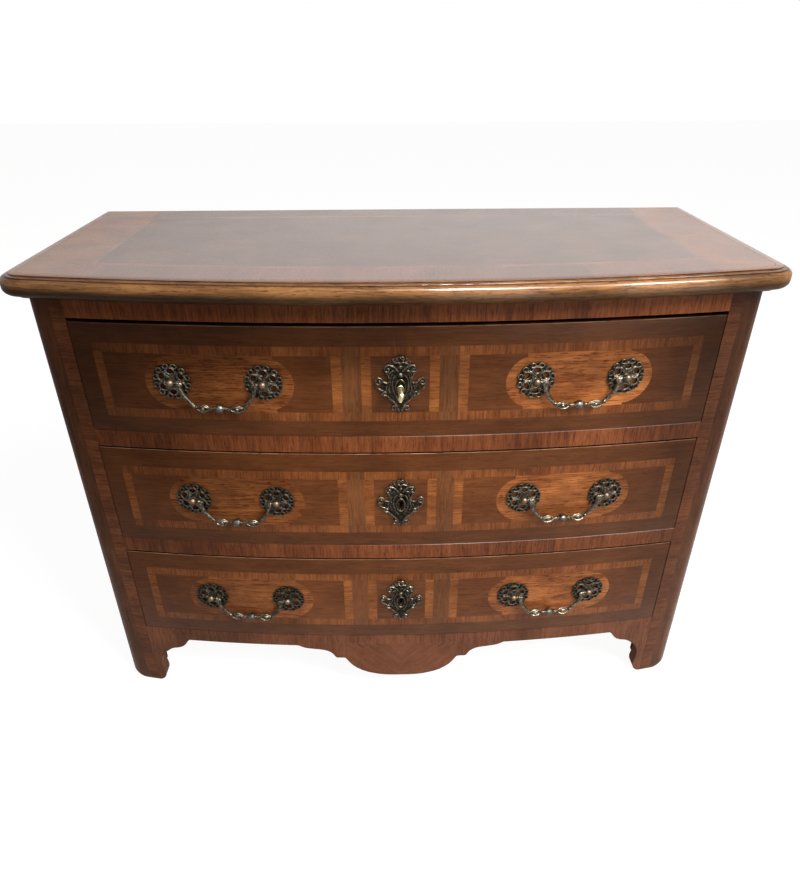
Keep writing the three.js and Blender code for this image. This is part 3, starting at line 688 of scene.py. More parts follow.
class Finishes:
    """The materials of the chest, each made once."""

    def __init__(self) -> None:
        """Makes every material."""
        self.drawer_fronts = {number: Marquetry().finish(number) for number in DRAWERS}
        self.frieze = self.crossbanded("frieze_veneer")
        self.rail = self.crossbanded("rail_veneer")
        self.apron = self.bookmatched()
        self.post = self.post_veneer()
        self.bead = self.moulding()
        self.top = self.top_veneer()
        self.side = self.panel_veneer()
        self.boards = {grain: self.plain_wood(grain) for grain in Grain}
        self.bronze = self.patinated("dark_bronze", 0.80, 0.0085, srgb(122, 100, 80))
        self.bail_bronze = self.patinated("bail_bronze", 0.92, 0.0128, srgb(88, 87, 89))
        self.brass = self.metal("key_brass", srgb(138, 114, 64), srgb(250, 236, 190), 0.32)
        self.iron = self.metal("lock_iron", srgb(56, 53, 50), srgb(120, 116, 110), 0.45)

    def crossbanded(self, name: str) -> bpy.types.Material:
        """Builds crossbanding whose grain stands upright along a rail.

        Args:
            name: Name of the material.

        Returns:
            The material.
        """
        veneer = VeneerFinish(name)
        veneer.region(veneer.z > -1.0, TONES.rail, upright=True)
        frieze = veneer.z > CASE.lintel(1)
        # Painted shade on the frieze under the top, over its left half; the rails take the
        # front's painted light and shade.
        frieze_shade = 1 - (1 - veneer.graph.spread(veneer.x, 0.0, 0.10)) * 0.32
        veneer.shade = frieze * frieze_shade + (1 - frieze) * veneer.sheen()
        return veneer.build(TONES.rail)

    def bookmatched(self) -> bpy.types.Material:
        """Builds the apron's crossbanding, with two leaning leaves meeting on its lobe.

        Returns:
            The material.
        """
        veneer = VeneerFinish("apron_veneer")
        x = abs(veneer.x)
        lobe = (x < BORDERS.lobe_half) * (veneer.z < BORDERS.lobe_top)
        lean = lobe * BORDERS.lean
        along = veneer.x * (1 - lobe) + (x - veneer.z) * lobe
        veneer.region(veneer.z > -1.0, TONES.apron, upright=True)
        # Painted shade towards the left end.
        veneer.shade = 0.97 - veneer.graph.spread(veneer.x * -1.0, 0.20, 0.40) * 0.14
        return veneer.build(TONES.apron, along=along, across=veneer.z + x * lean)

    def post_veneer(self) -> bpy.types.Material:
        """Builds the posts' veneer: a crossbanded strip, a plain band and an outer band.

        Returns:
            The material.
        """
        veneer = VeneerFinish("post_veneer")
        x = abs(veneer.x)
        strip, band = BORDERS.post_strip, BORDERS.post_band
        veneer.region(x < strip, TONES.post_edge)
        veneer.region(x.between(strip, band), TONES.post, upright=True)
        veneer.region((x > band) * (veneer.y < BORDERS.post_corner_y), TONES.post_edge)
        # Painted light towards the foot and painted shade towards the top.
        veneer.shade = 1.34 - veneer.graph.spread(veneer.z, 0.20, 0.80) * 0.62
        return veneer.build(TONES.post, leaf_length=BORDERS.post_leaf)

    def moulding(self) -> bpy.types.Material:
        """Builds the golden brown of the edge moulding, with painted shade in its grooves and
        under its roll.

        Returns:
            The material.
        """
        veneer = VeneerFinish("bead_veneer", rough=0.30, coat=1.0, specular=0.1)
        g = veneer.graph
        height, x = veneer.z, veneer.x

        def stretch(at: Socket, places: tuple[float, ...]) -> Socket:
            """Returns a value that rises between two places and falls between two more."""
            return g.spread(at, *places[:2]) * (1 - g.spread(at, *places[2:]))

        # Painted shade on the roll's underside, on the step's face and on the lip's face.
        below = 1 - g.spread(height, BORDERS.roll_low, BORDERS.roll_high)
        step = stretch(height, BORDERS.step)
        lip = stretch(height, BORDERS.lip)
        ledge = stretch(height, BORDERS.ledge)
        veneer.region(ledge, TONES.ledge)
        # Painted light: darker on the left, lighter to the right, darker again at the right end;
        # the painted shade above is lighter where lit.
        lit = g.spread(x, -0.40, 0.12)
        veneer.shade = (0.82 + lit * 0.46 - g.spread(x, 0.39, 0.50) * 0.50) * (
            1 - (below * (0.86 - lit * 0.12)).most(step * 0.6).most(lip * 0.80))
        worn = g.noise(g.vector(x * 30.0, (veneer.y - x * 0.25) * 160.0, 0.0), 1.0, 2.0)
        polish = stretch(x, BORDERS.polish_left) + stretch(x, BORDERS.polish_right)
        roll = height.between(*BORDERS.roll_face) * (0.20 + polish * 0.80)
        sheen = ledge * g.spread(worn, 0.42, 0.60) * (0.15 + g.spread(x, -0.20, 0.08) * 0.85)
        veneer.coat_mask = roll.most(sheen)
        length = x + veneer.y * 1.02
        return veneer.build(TONES.bead, along=length)

    def top_veneer(self) -> bpy.types.Material:
        """Builds the top: a dark ground inside a light line and a wide border.

        Returns:
            The material.
        """
        veneer = VeneerFinish("top_veneer", rough=0.22, coat=1.0, specular=0.08)
        x = abs(veneer.x)
        front = veneer.y - (BORDERS.top_centre_y
                            - (BORDERS.top_radius ** 2 - veneer.x * veneer.x) ** 0.5)
        side = BORDERS.top_half - x
        back = BORDERS.top_back - veneer.y
        veneer.region(front < BORDERS.front_band, TONES.top_band, upright=True)
        veneer.region(side < BORDERS.side_band, TONES.top_side)
        within, core = (
            (side > BORDERS.side_band + line) * (front > BORDERS.front_band + line)
            * (back > BORDERS.back_band + line) for line in (0.0, BORDERS.line))
        veneer.region(within * (1 - core), TONES.inlay)
        gloss = 0.66 + veneer.x * 0.44 - veneer.x * veneer.x * 0.95 - veneer.y * 0.75
        veneer.coat_mask = gloss.most(0.02).least(1.0)
        return veneer.build(TONES.top_ground, along=veneer.x, across=veneer.y)

    def panel_veneer(self) -> bpy.types.Material:
        """Builds the side panels' veneer: upright grain inside a light line.

        Returns:
            The material.
        """
        veneer = VeneerFinish("side_veneer")
        y, z = veneer.y, veneer.z
        inner, outer = (
            y.between(BORDERS.panel_front - edge, BORDERS.panel_back + edge)
            * z.between(BORDERS.panel_low - edge, BORDERS.panel_high + edge)
            for edge in (0.0, BORDERS.panel_line))
        line = outer * (1 - inner)
        veneer.region(inner, TONES.side, upright=True)
        veneer.region(line, TONES.crossband)
        return veneer.build(TONES.post, along=y, across=z)

    def plain_wood(self, grain: Grain) -> bpy.types.Material:
        """Builds bare secondary timber.

        Args:
            grain: Axis that its grain follows.

        Returns:
            The material.
        """
        g = Graph(f"plain_wood_{grain.value}", Specular_IOR_Level=0.3)
        x, y, z = g.place()
        flow, across, through = {
            Grain.ALONG_X: (x, y, z), Grain.ALONG_Y: (y, x, z), Grain.ALONG_Z: (z, x, y),
        }[grain]
        warp = g.noise(g.vector(flow * 1.5, across * 6.0, through * 6.0), 1.0, 2.0)
        rings = g.noise(g.vector(flow * 2.0, across * 34.0 + warp * 2.0, through * 34.0), 1.0,
                        3.0, 0.55, 0.6)
        fibre = g.noise(g.vector(flow * 14.0, across * 420.0, through * 420.0), 1.0, 3.0, 0.6)
        share = g.spread(rings * 0.6 + fibre * 0.4, 0.34, 0.66)
        knots = g.noise(g.vector(flow * 3.0, across * 5.0, through * 5.0), 1.0, 1.0)
        colour = g.mix(share, srgb(118, 84, 50), srgb(176, 138, 92))
        colour = g.tint(colour, 1.06 - g.spread(knots, 0.60, 0.78) * 0.30)
        return g.finish(colour, 0.62 + fibre * 0.15, fibre, 0.2, 0.0004)

    def patinated(self, name: str, rub: float, crown_at: float, crown: Colour,
                  ) -> bpy.types.Material:
        """Returns dark bronze, lighter where it stands proud of the wood and is rubbed.

        Args:
            name: Name of the material.
            rub: How far the proud places are rubbed bright.
            crown_at: Distance from the wood beyond which the ball of a casting lies.
            crown: Colour of that ball.

        Returns:
            The material.
        """
        g = Graph(name, Metallic=1.0)
        x, y, z = g.place()
        bow = CASE.front_y + CASE.radius - (CASE.radius ** 2 - x * x) ** 0.5
        out = bow - y
        proud = g.spread(out, 0.0016, 0.0034)
        ball = g.spread(out, crown_at, crown_at + 0.0020)
        # Painted shade on the mounts on the chest's left.
        left_shade = g.spread(x * -1.0, -0.15, 0.20)
        spot = g.vector(x, y, z)
        patina = g.spread(g.noise(spot, 260.0, 4.0, 0.7), 0.42, 0.62)
        cloud = g.spread(g.noise(spot, 70.0, 2.0, 0.5), 0.48, 0.66)
        grit = g.noise(spot, 1300.0, 2.0, 0.5)
        # Rubbed wear and patina, darkened on the left by that painted shade.
        rubbed = (proud * (patina * 0.55 + 0.14) * rub + patina * 0.05) * (1 - left_shade * 0.35)
        colour = g.mix(rubbed, srgb(20, 17, 14), srgb(172, 158, 136))
        colour = g.mix(cloud * 0.30, colour, srgb(30, 36, 30))
        colour = g.mix(ball * 0.8, colour, crown)
        rough = 0.42 - rubbed * 0.10 + ball * 0.06
        return g.finish(colour, rough, patina * 0.7 + grit * 0.3, 0.35, 0.0004)

    def metal(self, name: str, dark: Colour, bright: Colour, rough: float,
              ) -> bpy.types.Material:
        """Builds cast metal, bright where it is rubbed and dark where it isn't.

        Args:
            name: Name of the material.
            dark: Colour in its hollows.
            bright: Colour on its edges.
            rough: Roughness where bright.

        Returns:
            The material.
        """
        g = Graph(name, Metallic=1.0)
        x, y, z = g.place()
        spot = g.vector(x, y, z)
        patina = g.noise(spot, 160.0, 4.0, 0.6)
        grit = g.noise(spot, 900.0, 2.0, 0.5)
        edges = g.node("ShaderNodeNewGeometry", output="Pointiness")
        rubbed = g.spread(edges, 0.48, 0.56) * 0.75 + g.spread(patina, 0.45, 0.70) * 0.35
        marks = g.spread(g.noise(spot, 420.0, 3.0, 0.6), 0.50, 0.60)
        colour = g.tint(g.mix(rubbed.least(1.0), dark, bright), 1.06 - marks * 0.46)
        return g.finish(colour, rough + (1 - rubbed) * 0.14, patina + grit * 0.5, 0.15, 0.0003)


# ---------------------------------------------------------------- mesh tools

class Builder:
    """A mesh in the making, shaped with bmesh operators."""

    def __init__(self) -> None:
        """Starts an empty mesh."""
        self.bm = bmesh.new()

    def loop(self, points: Iterable[Point]) -> list[bmesh.types.BMEdge]:
        """Returns the edges of a closed section through points."""
        verts = [self.bm.verts.new(Vector(p)) for p in points]
        return [self.bm.edges.new((a, b)) for a, b in zip(verts, verts[1:] + verts[:1])]

    def cap(self, edges: Sequence[bmesh.types.BMEdge]) -> None:
        """Closes a ring of edges with a face."""
        bmesh.ops.contextual_create(self.bm, geom=list(edges))

    def shift(self, edges: Sequence[bmesh.types.BMEdge], by: Point,
              ) -> list[bmesh.types.BMEdge]:
        """Extrudes edges along a straight run.

        Args:
            edges: Edges to extrude.
            by: The run.

        Returns:
            The new edges.
        """
        made = bmesh.ops.extrude_edge_only(self.bm, edges=list(edges))["geom"]
        bmesh.ops.translate(self.bm, vec=Vector(by),
                            verts=[v for v in made if isinstance(v, bmesh.types.BMVert)])
        return [e for e in made if isinstance(e, bmesh.types.BMEdge)]

    def swing(self, edges: Sequence[bmesh.types.BMEdge], centre: Point, angle: float,
              steps: int, axis: Point = (0, 0, 1)) -> list[bmesh.types.BMEdge]:
        """Extrudes edges round an axis and returns the last edges.

        Args:
            edges: Edges to turn.
            centre: A point on the axis.
            angle: Angle of the turn.
            steps: Number of steps.
            axis: Direction of the axis.

        Returns:
            The edges at the end of the turn.
        """
        geom = list(dict.fromkeys(v for e in edges for v in e.verts)) + list(edges)
        last = bmesh.ops.spin(self.bm, geom=geom, cent=Vector(centre), axis=Vector(axis),
                              angle=angle, steps=steps, use_merge=False)["geom_last"]
        return [e for e in last if isinstance(e, bmesh.types.BMEdge)]

    def round(self, profile: Sequence[tuple[float, float]], centre: Point, axis: Point,
              steps: int = 24) -> None:
        """Turns an open profile of radii and heights fully round an axis.

        Args:
            profile: Radii and heights along the axis, from one end on the axis to the other.
            centre: Where height 0 lies.
            axis: Direction of the axis.
            steps: Number of faces round it.
        """
        axis = Vector(axis).normalized()
        side = axis.orthogonal().normalized()
        verts = [self.bm.verts.new(Vector(centre) + side * r + axis * h) for r, h in profile]
        edges = [self.bm.edges.new(pair) for pair in zip(verts, verts[1:])]
        bmesh.ops.spin(self.bm, geom=verts + edges, cent=Vector(centre), axis=axis,
                       angle=2 * math.pi, steps=steps, use_merge=True)

    def tube(self, path: Sequence[Vector], radii: Sequence[float], up: Point = (0, 1, 0),
             sides: int = 8, flatten: float = 1.0, closed: bool = False) -> None:
        """Makes a tube of round sections along a path.

        Args:
            path: Centre line.
            radii: Radius at each point.
            up: Direction that each section keeps.
            sides: Faces round a section.
            flatten: Thickness along up, as a share of the width.
            closed: Whether the path comes back to its start.
        """
        rings = []
        count = len(path)
        for i, (at, radius) in enumerate(zip(path, radii)):
            before = path[i - 1] if i or closed else at
            after = path[(i + 1) % count] if i < count - 1 or closed else at
            along = (after - before).normalized()
            lift = Vector(up) - along * along.dot(Vector(up))
            lift.normalize()
            across = along.cross(lift)
            turn = Matrix((across, lift * flatten, along)).transposed().to_4x4()
            made = bmesh.ops.create_circle(self.bm, cap_ends=False, radius=radius,
                                           segments=sides,
                                           matrix=Matrix.Translation(at) @ turn)
            rings.append(list(dict.fromkeys(e for v in made["verts"] for e in v.link_edges)))
        pairs = zip(rings, rings[1:] + rings[:1]) if closed else zip(rings, rings[1:])
        for first, second in pairs:
            bmesh.ops.bridge_loops(self.bm, edges=first + second)
        if not closed:
            self.cap(rings[0])
            self.cap(rings[-1])

    def bowed(self, section: Sequence[tuple[float, float]], half: float, steps: int) -> None:
        """Sweeps a section round the centre of the front's bow and closes its ends.

        Args:
            section: Depths behind the front, and heights.
            half: Distance from X=0 to either end, along X.
            steps: Number of steps.
        """
        centre = (0, CASE.front_y + CASE.radius, 0)
        angle = CASE.turn(half)
        edges = self.loop((0, CASE.front_y + deep, z) for deep, z in section)
        bmesh.ops.rotate(self.bm, verts=self.bm.verts[:], cent=Vector(centre),
                         matrix=Matrix.Rotation(-angle, 3, "Z"))
        self.cap(edges)
        self.cap(self.swing(edges, centre, 2 * angle, steps))

    def block(self, size: Point, centre: Point) -> None:
        """Adds a block.

        Args:
            size: Its three sizes.
            centre: Its centre.
        """
        made = bmesh.ops.create_cube(self.bm, size=1.0)["verts"]
        bmesh.ops.scale(self.bm, verts=made, vec=Vector(size))
        bmesh.ops.translate(self.bm, verts=made, vec=Vector(centre))

    def mirror(self) -> None:
        """Copies everything to the other side of X=0."""
        geom = self.bm.verts[:] + self.bm.edges[:] + self.bm.faces[:]
        bmesh.ops.mirror(self.bm, geom=geom, matrix=Matrix.Identity(4), merge_dist=0.0,
                         axis="X")

    def move(self, matrix: Matrix) -> None:
        """Places everything by a matrix."""
        bmesh.ops.transform(self.bm, matrix=matrix, verts=self.bm.verts[:])

    def slice(self, places: Iterable[float], normal: Point = (1, 0, 0)) -> None:
        """Cuts everything by planes, and keeps both sides.

        Args:
            places: Distances of the planes from the origin.
            normal: Axis that they cross.
        """
        for place in places:
            bmesh.ops.bisect_plane(
                self.bm, geom=self.bm.verts[:] + self.bm.edges[:] + self.bm.faces[:],
                plane_co=Vector(normal) * place, plane_no=Vector(normal), dist=1e-7)

    def shape(self, rule: Callable[[Vector], Point]) -> None:
        """Moves every vertex to where a rule puts it."""
        for vert in self.bm.verts:
            vert.co = Vector(rule(vert.co))

    def mesh(self, name: str, sharp: float = 35.0) -> bpy.types.Mesh:
        """Finishes the mesh, with smooth faces and sharp corners.

        Args:
            name: Name of the mesh.
            sharp: Angle in degrees past which an edge is sharp.

        Returns:
            The mesh.
        """
        bmesh.ops.remove_doubles(self.bm, verts=self.bm.verts[:], dist=1e-6)
        bmesh.ops.recalc_face_normals(self.bm, faces=self.bm.faces[:])
        made = bpy.data.meshes.new(name)
        self.bm.to_mesh(made)
        self.bm.free()
        for polygon in made.polygons:
            polygon.use_smooth = True
        made.set_sharp_from_angle(angle=math.radians(sharp))
        return made


def put(name: str, data: bpy.types.ID) -> bpy.types.Object:
    """Makes an object that stands in the scene.

    Args:
        name: Its name.
        data: Its mesh, camera or lamp.

    Returns:
        The object.
    """
    made = bpy.data.objects.new(name, data)
    bpy.context.scene.collection.objects.link(made)
    return made


class Piece:
    """Puts meshes into the scene as pieces that ride on a body."""

    @staticmethod
    def add(name: str, mesh: bpy.types.Mesh, material: bpy.types.Material, body: str,
            slot: str, *nodes: str) -> bpy.types.Object:
        """Adds a piece.

        Args:
            name: Name of the piece.
            mesh: Its mesh, in place.
            material: Its material.
            body: Body that it rides on.
            slot: The record's slot for its finish; not used.
            nodes: Nodes that it stands for.

        Returns:
            The object.
        """
        made = put(name, mesh)
        mesh.materials.clear()
        mesh.materials.append(material)
        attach(made, body)
        if nodes:
            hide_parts(*nodes)
        log.info("%s on %s, %d faces", name, body, len(mesh.polygons))
        return made

    @staticmethod
    def dress(node: str, material: bpy.types.Material) -> None:
        """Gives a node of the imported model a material.

        Args:
            node: Name of the node.
            material: Its material.
        """
        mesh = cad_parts[node].data
        mesh.materials.clear()
        mesh.materials.append(material)
        log.info("%s dressed in %s", node, material.name)

    @staticmethod
    def cut(mesh: bpy.types.Mesh, cutter: bpy.types.Mesh) -> bpy.types.Mesh:
        """Cuts one mesh out of another.

        Args:
            mesh: Mesh that is cut.
            cutter: Mesh that is taken out of it.

        Returns:
            The mesh that is left.
        """
        body, tool = put("cut_body", mesh), put("cut_tool", cutter)
        step = body.modifiers.new("cut", "BOOLEAN")
        step.operation = "DIFFERENCE"
        step.solver = "EXACT"
        step.object = tool
        bpy.context.view_layer.update()
        graph = bpy.context.evaluated_depsgraph_get()
        result = bpy.data.meshes.new_from_object(body.evaluated_get(graph))
        for made in (body, tool):
            bpy.data.objects.remove(made)
        return result


# ---------------------------------------------------------------- the case

@dataclass
class Top:
    """The top board and the moulding round it."""

    half: float = 0.564
    front_y: float = -0.217
    radius: float = 3.084615
    corner: float = 0.018
    back_y: float = 0.260
    height: float = 0.850
    wide: float = 0.025
    round_over: float = 0.008
    round_under: float = 0.011
    roll_top: float = -0.0045
    roll_low: float = -0.031

    def section(self) -> list[tuple[float, float]]:
        """Draws the moulding's section.

        Returns:
            Points of it: distance out, and height below the top.
        """
        def bend(radius: float, centre: float, start: float) -> list[tuple[float, float]]:
            """Draws a quarter of a round that touches the roll's face.

            Args:
                radius: Its radius.
                centre: Height of its centre.
                start: Angle in degrees where it starts.

            Returns:
                Its points.
            """
            angles = [math.radians(start + 90 * i / 14) for i in range(15)]
            return [(self.wide - radius + radius * math.cos(a),
                     centre + radius * math.sin(a)) for a in angles]
        low = mm((0, -36), (5.5, -36), (6, -35.5), (6, -31.6), (6.6, self.roll_low / MM))
        ledge = mm((16.9, -4.2), (16.8, -3.3), (16.4, -2.8), (12, -2.3), (11.2, -2.1),
                   (11, -1.5), (11, -0.6), (10.8, -0.2), (10.2, 0))
        return (low + bend(self.round_under, self.roll_low + self.round_under, -90)
                + bend(self.round_over, self.roll_top - self.round_over, 0)
                + ledge + [(0.0, 0.0)])

    def build(self, finishes: Finishes) -> None:
        """Builds the moulding and dresses the board.

        Args:
            finishes: Materials of the chest.
        """
        reach = self.radius - self.corner
        corner_x = self.half - self.corner
        centre_y = self.front_y + self.radius
        corner_y = centre_y - math.sqrt(reach ** 2 - corner_x ** 2)
        join = math.asin(corner_x / reach)
        builder = Builder()
        edges = builder.loop((self.half + out, self.back_y, self.height + down)
                             for out, down in self.section())
        builder.cap(edges)
        edges = builder.shift(edges, (0, corner_y - self.back_y, 0))
        quarter = math.pi / 2 - join
        edges = builder.swing(edges, (corner_x, corner_y, 0), -quarter, 14)
        edges = builder.swing(edges, (0, centre_y, 0), -2 * join, 96)
        edges = builder.swing(edges, (-corner_x, corner_y, 0), -quarter, 14)
        edges = builder.shift(edges, (0, self.back_y - corner_y, 0))
        builder.cap(edges)
        made = Piece.add("edge_moulding_fine", builder.mesh("edge_moulding_fine", 30),
                         finishes.bead, "carcass", "bead_veneer", "edge_moulding")
        made.data.materials.append(finishes.top)
        for polygon in made.data.polygons:
            polygon.material_index = int(polygon.center.z > self.height - 0.0003)
        Piece.dress("top_board", finishes.top)


@dataclass
class Frontage:
    """The posts, rails and apron of the front."""

    post_corner: float = 0.024
    foot_inset: float = 0.013
    foot_height: float = 0.015
    apron_thick: float = 0.024
    apron_steps: int = 96
    rail_ease: float = 0.0008
    rail_depth: float = 0.05
    mortise_half: float = 0.0132
    mortise_depth: float = 0.0104
    mortise_rise: float = 0.0124
    mortise_y: float = -0.1771

    def mortise(self) -> bpy.types.Mesh:
        """Makes the room that the bolt of the top lock enters.

        Returns:
            The mesh to cut out of the frieze rail.
        """
        builder = Builder()
        builder.block((2 * self.mortise_half, self.mortise_depth, 2 * self.mortise_rise),
                      (0, self.mortise_y, CASE.lintel(1)))
        return builder.mesh("mortise")

    def rail(self, name: str, low: float, high: float, finish: bpy.types.Material,
             cutter: bpy.types.Mesh | None = None) -> None:
        """Builds a bowed rail with a straight back and eased front edges.

        Args:
            name: Name of the solid that the rail stands for.
            low: Height of its lower edge.
            high: Height of its upper edge.
            finish: Its veneer.
            cutter: A mesh that is cut out of it.
        """
        half = CASE.opening_half - CASE.seam
        ease, deep = self.rail_ease, self.rail_depth
        builder = Builder()
        builder.bowed([(deep, low), (ease, low), (0.0, low + ease), (0.0, high - ease),
                       (ease, high), (deep, high)], half, 64)

        def square(at: Vector) -> Point:
            """Makes the back straight and the ends upright.

            Args:
                at: A point of the bowed rail.

            Returns:
                Where it goes.
            """
            x = max(-half, min(half, at.x))
            if at.y - CASE.bow_y(x) < deep / 2:
                return x, at.y, at.z
            share = half / (half - deep * half / CASE.radius)
            return max(-half, min(half, at.x * share)), CASE.frame_back, at.z

        builder.shape(square)
        mesh = builder.mesh(f"{name}_fine")
        if cutter is not None:
            mesh = Piece.cut(mesh, cutter)
        Piece.add(f"{name}_fine", mesh, finish, "carcass", "crossband_veneer", name)

    def post(self, side: Side, finishes: Finishes) -> None:
        """Builds a post with its rounded corner and foot.

        Args:
            side: Side that it stands on.
            finishes: Materials of the chest.
        """
        builder = Builder()
        inner, outer = CASE.opening_half, CASE.case_half
        front_in, front_out = CASE.bow_y(inner), CASE.bow_y(outer)
        plan = [(inner, front_in, 0), (outer, front_out, 0), (outer, CASE.frame_back, 0),
                (inner, CASE.frame_back, 0)]
        edges = builder.loop(plan)
        builder.cap(edges)
        builder.bm.verts.ensure_lookup_table()
        bmesh.ops.bevel(builder.bm, geom=[builder.bm.verts[1]], affect="VERTICES",
                        offset=self.post_corner * 1.08, offset_type="OFFSET", segments=14,
                        profile=0.5, material=-1)
        lower = builder.bm.edges[:]
        upper = builder.shift(lower, (0, 0, CASE.case_top - CASE.seam))
        builder.cap(upper)
        heights = [self.foot_height * s for s in (0.08, 0.2, 0.38, 0.6, 0.8, 1.0)]
        builder.slice(heights, (0, 0, 1))

        def foot(at: Vector) -> Point:
            """Draws the post in towards the foot's rounded bottom.

            Args:
                at: A point of the post.

            Returns:
                Where it goes.
            """
            if at.z > self.foot_height:
                return tuple(at)
            share = 1 - at.z / self.foot_height
            inset = self.foot_inset * (1 - math.sqrt(max(0.0, 1 - share ** 2)))
            weight = max(0.0, min(1.0, (at.x - inner - 0.008) / (outer - inner - 0.016)))
            return (at.x - inset * weight, at.y, at.z)

        builder.shape(foot)
        if side is Side.LEFT:
            builder.move(Matrix.Scale(-1, 4, (1, 0, 0)))
        name = f"front_post_{side.label}"
        Piece.add(f"{name}_fine", builder.mesh(f"{name}_fine", 50), finishes.post,
                  "carcass", "case_veneer", name)

    def apron_edge(self) -> list[tuple[float, float]]:
        """Draws the right half of the apron's lower edge.

        Returns:
            Its points, as X and Z, from the middle outwards.
        """
        lobe = mm((15, 41), (30, 41.7), (42, 43.2), (54, 46), (66, 49.5), (77, 54.5), (87, 61),
                  (96, 69), (103, 78.5), (107.5, 86), (110, 89.3), (114, 90), (126.5, 90))
        ogee = mm((129, 92.2), (132.5, 98.5), (137, 104), (144, 108.5), (151, 110.8),
                  (160, 112.2), (172, 113.4), (181, 114.5), (189, 116.2), (195, 118.8),
                  (199.5, 121.3), (203, 122))
        bracket = mm((416.5, 122), (420, 119), (423.5, 113.5), (427.5, 107.8), (433, 102.6),
                     (439.5, 99.3), (446, 97.5), (453, 95.8), (458.5, 93), (464, 88.5),
                     (470, 83.8), (476, 78), (480.5, 70.5), (483.5, 62.5), (485, 54),
                     (485.2, 46), (484.5, 37), (483.2, 29), (482.4, 21), (483.2, 14.5),
                     (485.5, 8.5), (489.5, 3.8), (494.5, 0.8), (498.5, 0))
        return lobe + ogee + bracket

    def apron(self, finishes: Finishes) -> None:
        """Builds the bowed apron from its lower edge.

        Args:
            finishes: Materials of the chest.
        """
        half = CASE.opening_half - CASE.seam
        top = CASE.apron_top
        right = self.apron_edge() + [(half, 0.0), (half, top)]
        left = [(-x, z) for x, z in reversed(right)]
        builder = Builder()
        edges = builder.loop((x, 0.0, z) for x, z in left + right)
        builder.cap(edges)
        builder.cap(builder.shift(edges, (0, self.apron_thick, 0)))
        builder.slice(half * (2 * i / self.apron_steps - 1)
                      for i in range(1, self.apron_steps))
        builder.shape(lambda at: (at.x, CASE.bow_y(at.x, at.y), at.z))
        Piece.add("apron_front_fine", builder.mesh("apron_front_fine"), finishes.apron,
                  "carcass", "crossband_veneer", "apron_front")

    def build(self, finishes: Finishes) -> None:
        """Builds the whole front.

        Args:
            finishes: Materials of the chest.
        """
        upper = CASE.opening(1)
        lower = CASE.opening(2)
        self.rail("frieze_rail", CASE.lintel(1), CASE.case_top - CASE.seam, finishes.frieze,
                  self.mortise())
        self.rail("rail_upper", upper - CASE.rail_height, upper, finishes.rail)
        self.rail("rail_lower", lower - CASE.rail_height, lower, finishes.rail)
        self.apron(finishes)
        for side in Side:
            self.post(side, finishes)


class Carcass:
    """The plain boards of the case."""

    def build(self, finishes: Finishes) -> None:
        """Dresses the boards.

        Args:
            finishes: Materials of the chest.
        """
        for side in Side:
            Piece.dress(f"side_panel_{side.label}", finishes.side)
            Piece.dress(f"side_apron_{side.label}", finishes.rail)
            Piece.dress(f"back_post_{side.label}", finishes.post)
        for node in ("back_panel", "back_rail", *(f"dust_board_{n}" for n in DRAWERS)):
            Piece.dress(node, finishes.boards[Grain.ALONG_X])


# ---------------------------------------------------------------- the mounts

def ring(centre: Point, wide: float, high: float, count: int, turn: float = 0.0,
         ) -> list[Vector]:
    """Returns the points of an oval in the XZ plane.

    Args:
        centre: Centre of the oval.
        wide: Half of its width.
        high: Half of its height.
        count: Number of points.
        turn: Turn of the oval in its plane.

    Returns:
        The points.
    """
    points = []
    for i in range(count):
        angle = 2 * math.pi * i / count
        a, b = wide * math.cos(angle), high * math.sin(angle)
        points.append(Vector((centre[0] + a * math.cos(turn) - b * math.sin(turn), centre[1],
                              centre[2] + a * math.sin(turn) + b * math.cos(turn))))
    return points


def curl(centre: Point, start: float, turns: float, outer: float, inner: float,
         count: int = 18) -> list[Vector]:
    """Returns the points of a spiral in the XZ plane, from its outside in.

    Args:
        centre: Centre of the spiral.
        start: Angle where it starts.
        turns: Number of turns, below 0 for clockwise.
        outer: Radius at its start.
        inner: Radius at its end.
        count: Number of points.

    Returns:
        The points.
    """
    points = []
    for i in range(count):
        share = i / (count - 1)
        angle = start + turns * 2 * math.pi * share
        radius = outer + (inner - outer) * share
        points.append(Vector((centre[0] + radius * math.cos(angle), centre[1],
                              centre[2] + radius * math.sin(angle))))
    return points


def smooth(points: Sequence[Point], steps: int = 5) -> list[Vector]:
    """Draws a smooth curve through points.

    Args:
        points: Points that it passes.
        steps: Steps from one to the next.

    Returns:
        The points of the curve.
    """
    at = [Vector(p) for p in points]
    at = [at[0] * 2 - at[1], *at, at[-1] * 2 - at[-2]]
    curve = []
    for a, b, c, d in zip(at, at[1:], at[2:], at[3:]):
        for i in range(steps):
            t = i / steps
            curve.append(0.5 * (2 * b + (c - a) * t + (2 * a - 5 * b + 4 * c - d) * t ** 2
                                + (3 * b - a - 3 * c + d) * t ** 3))
    curve.append(at[-2])
    return curve


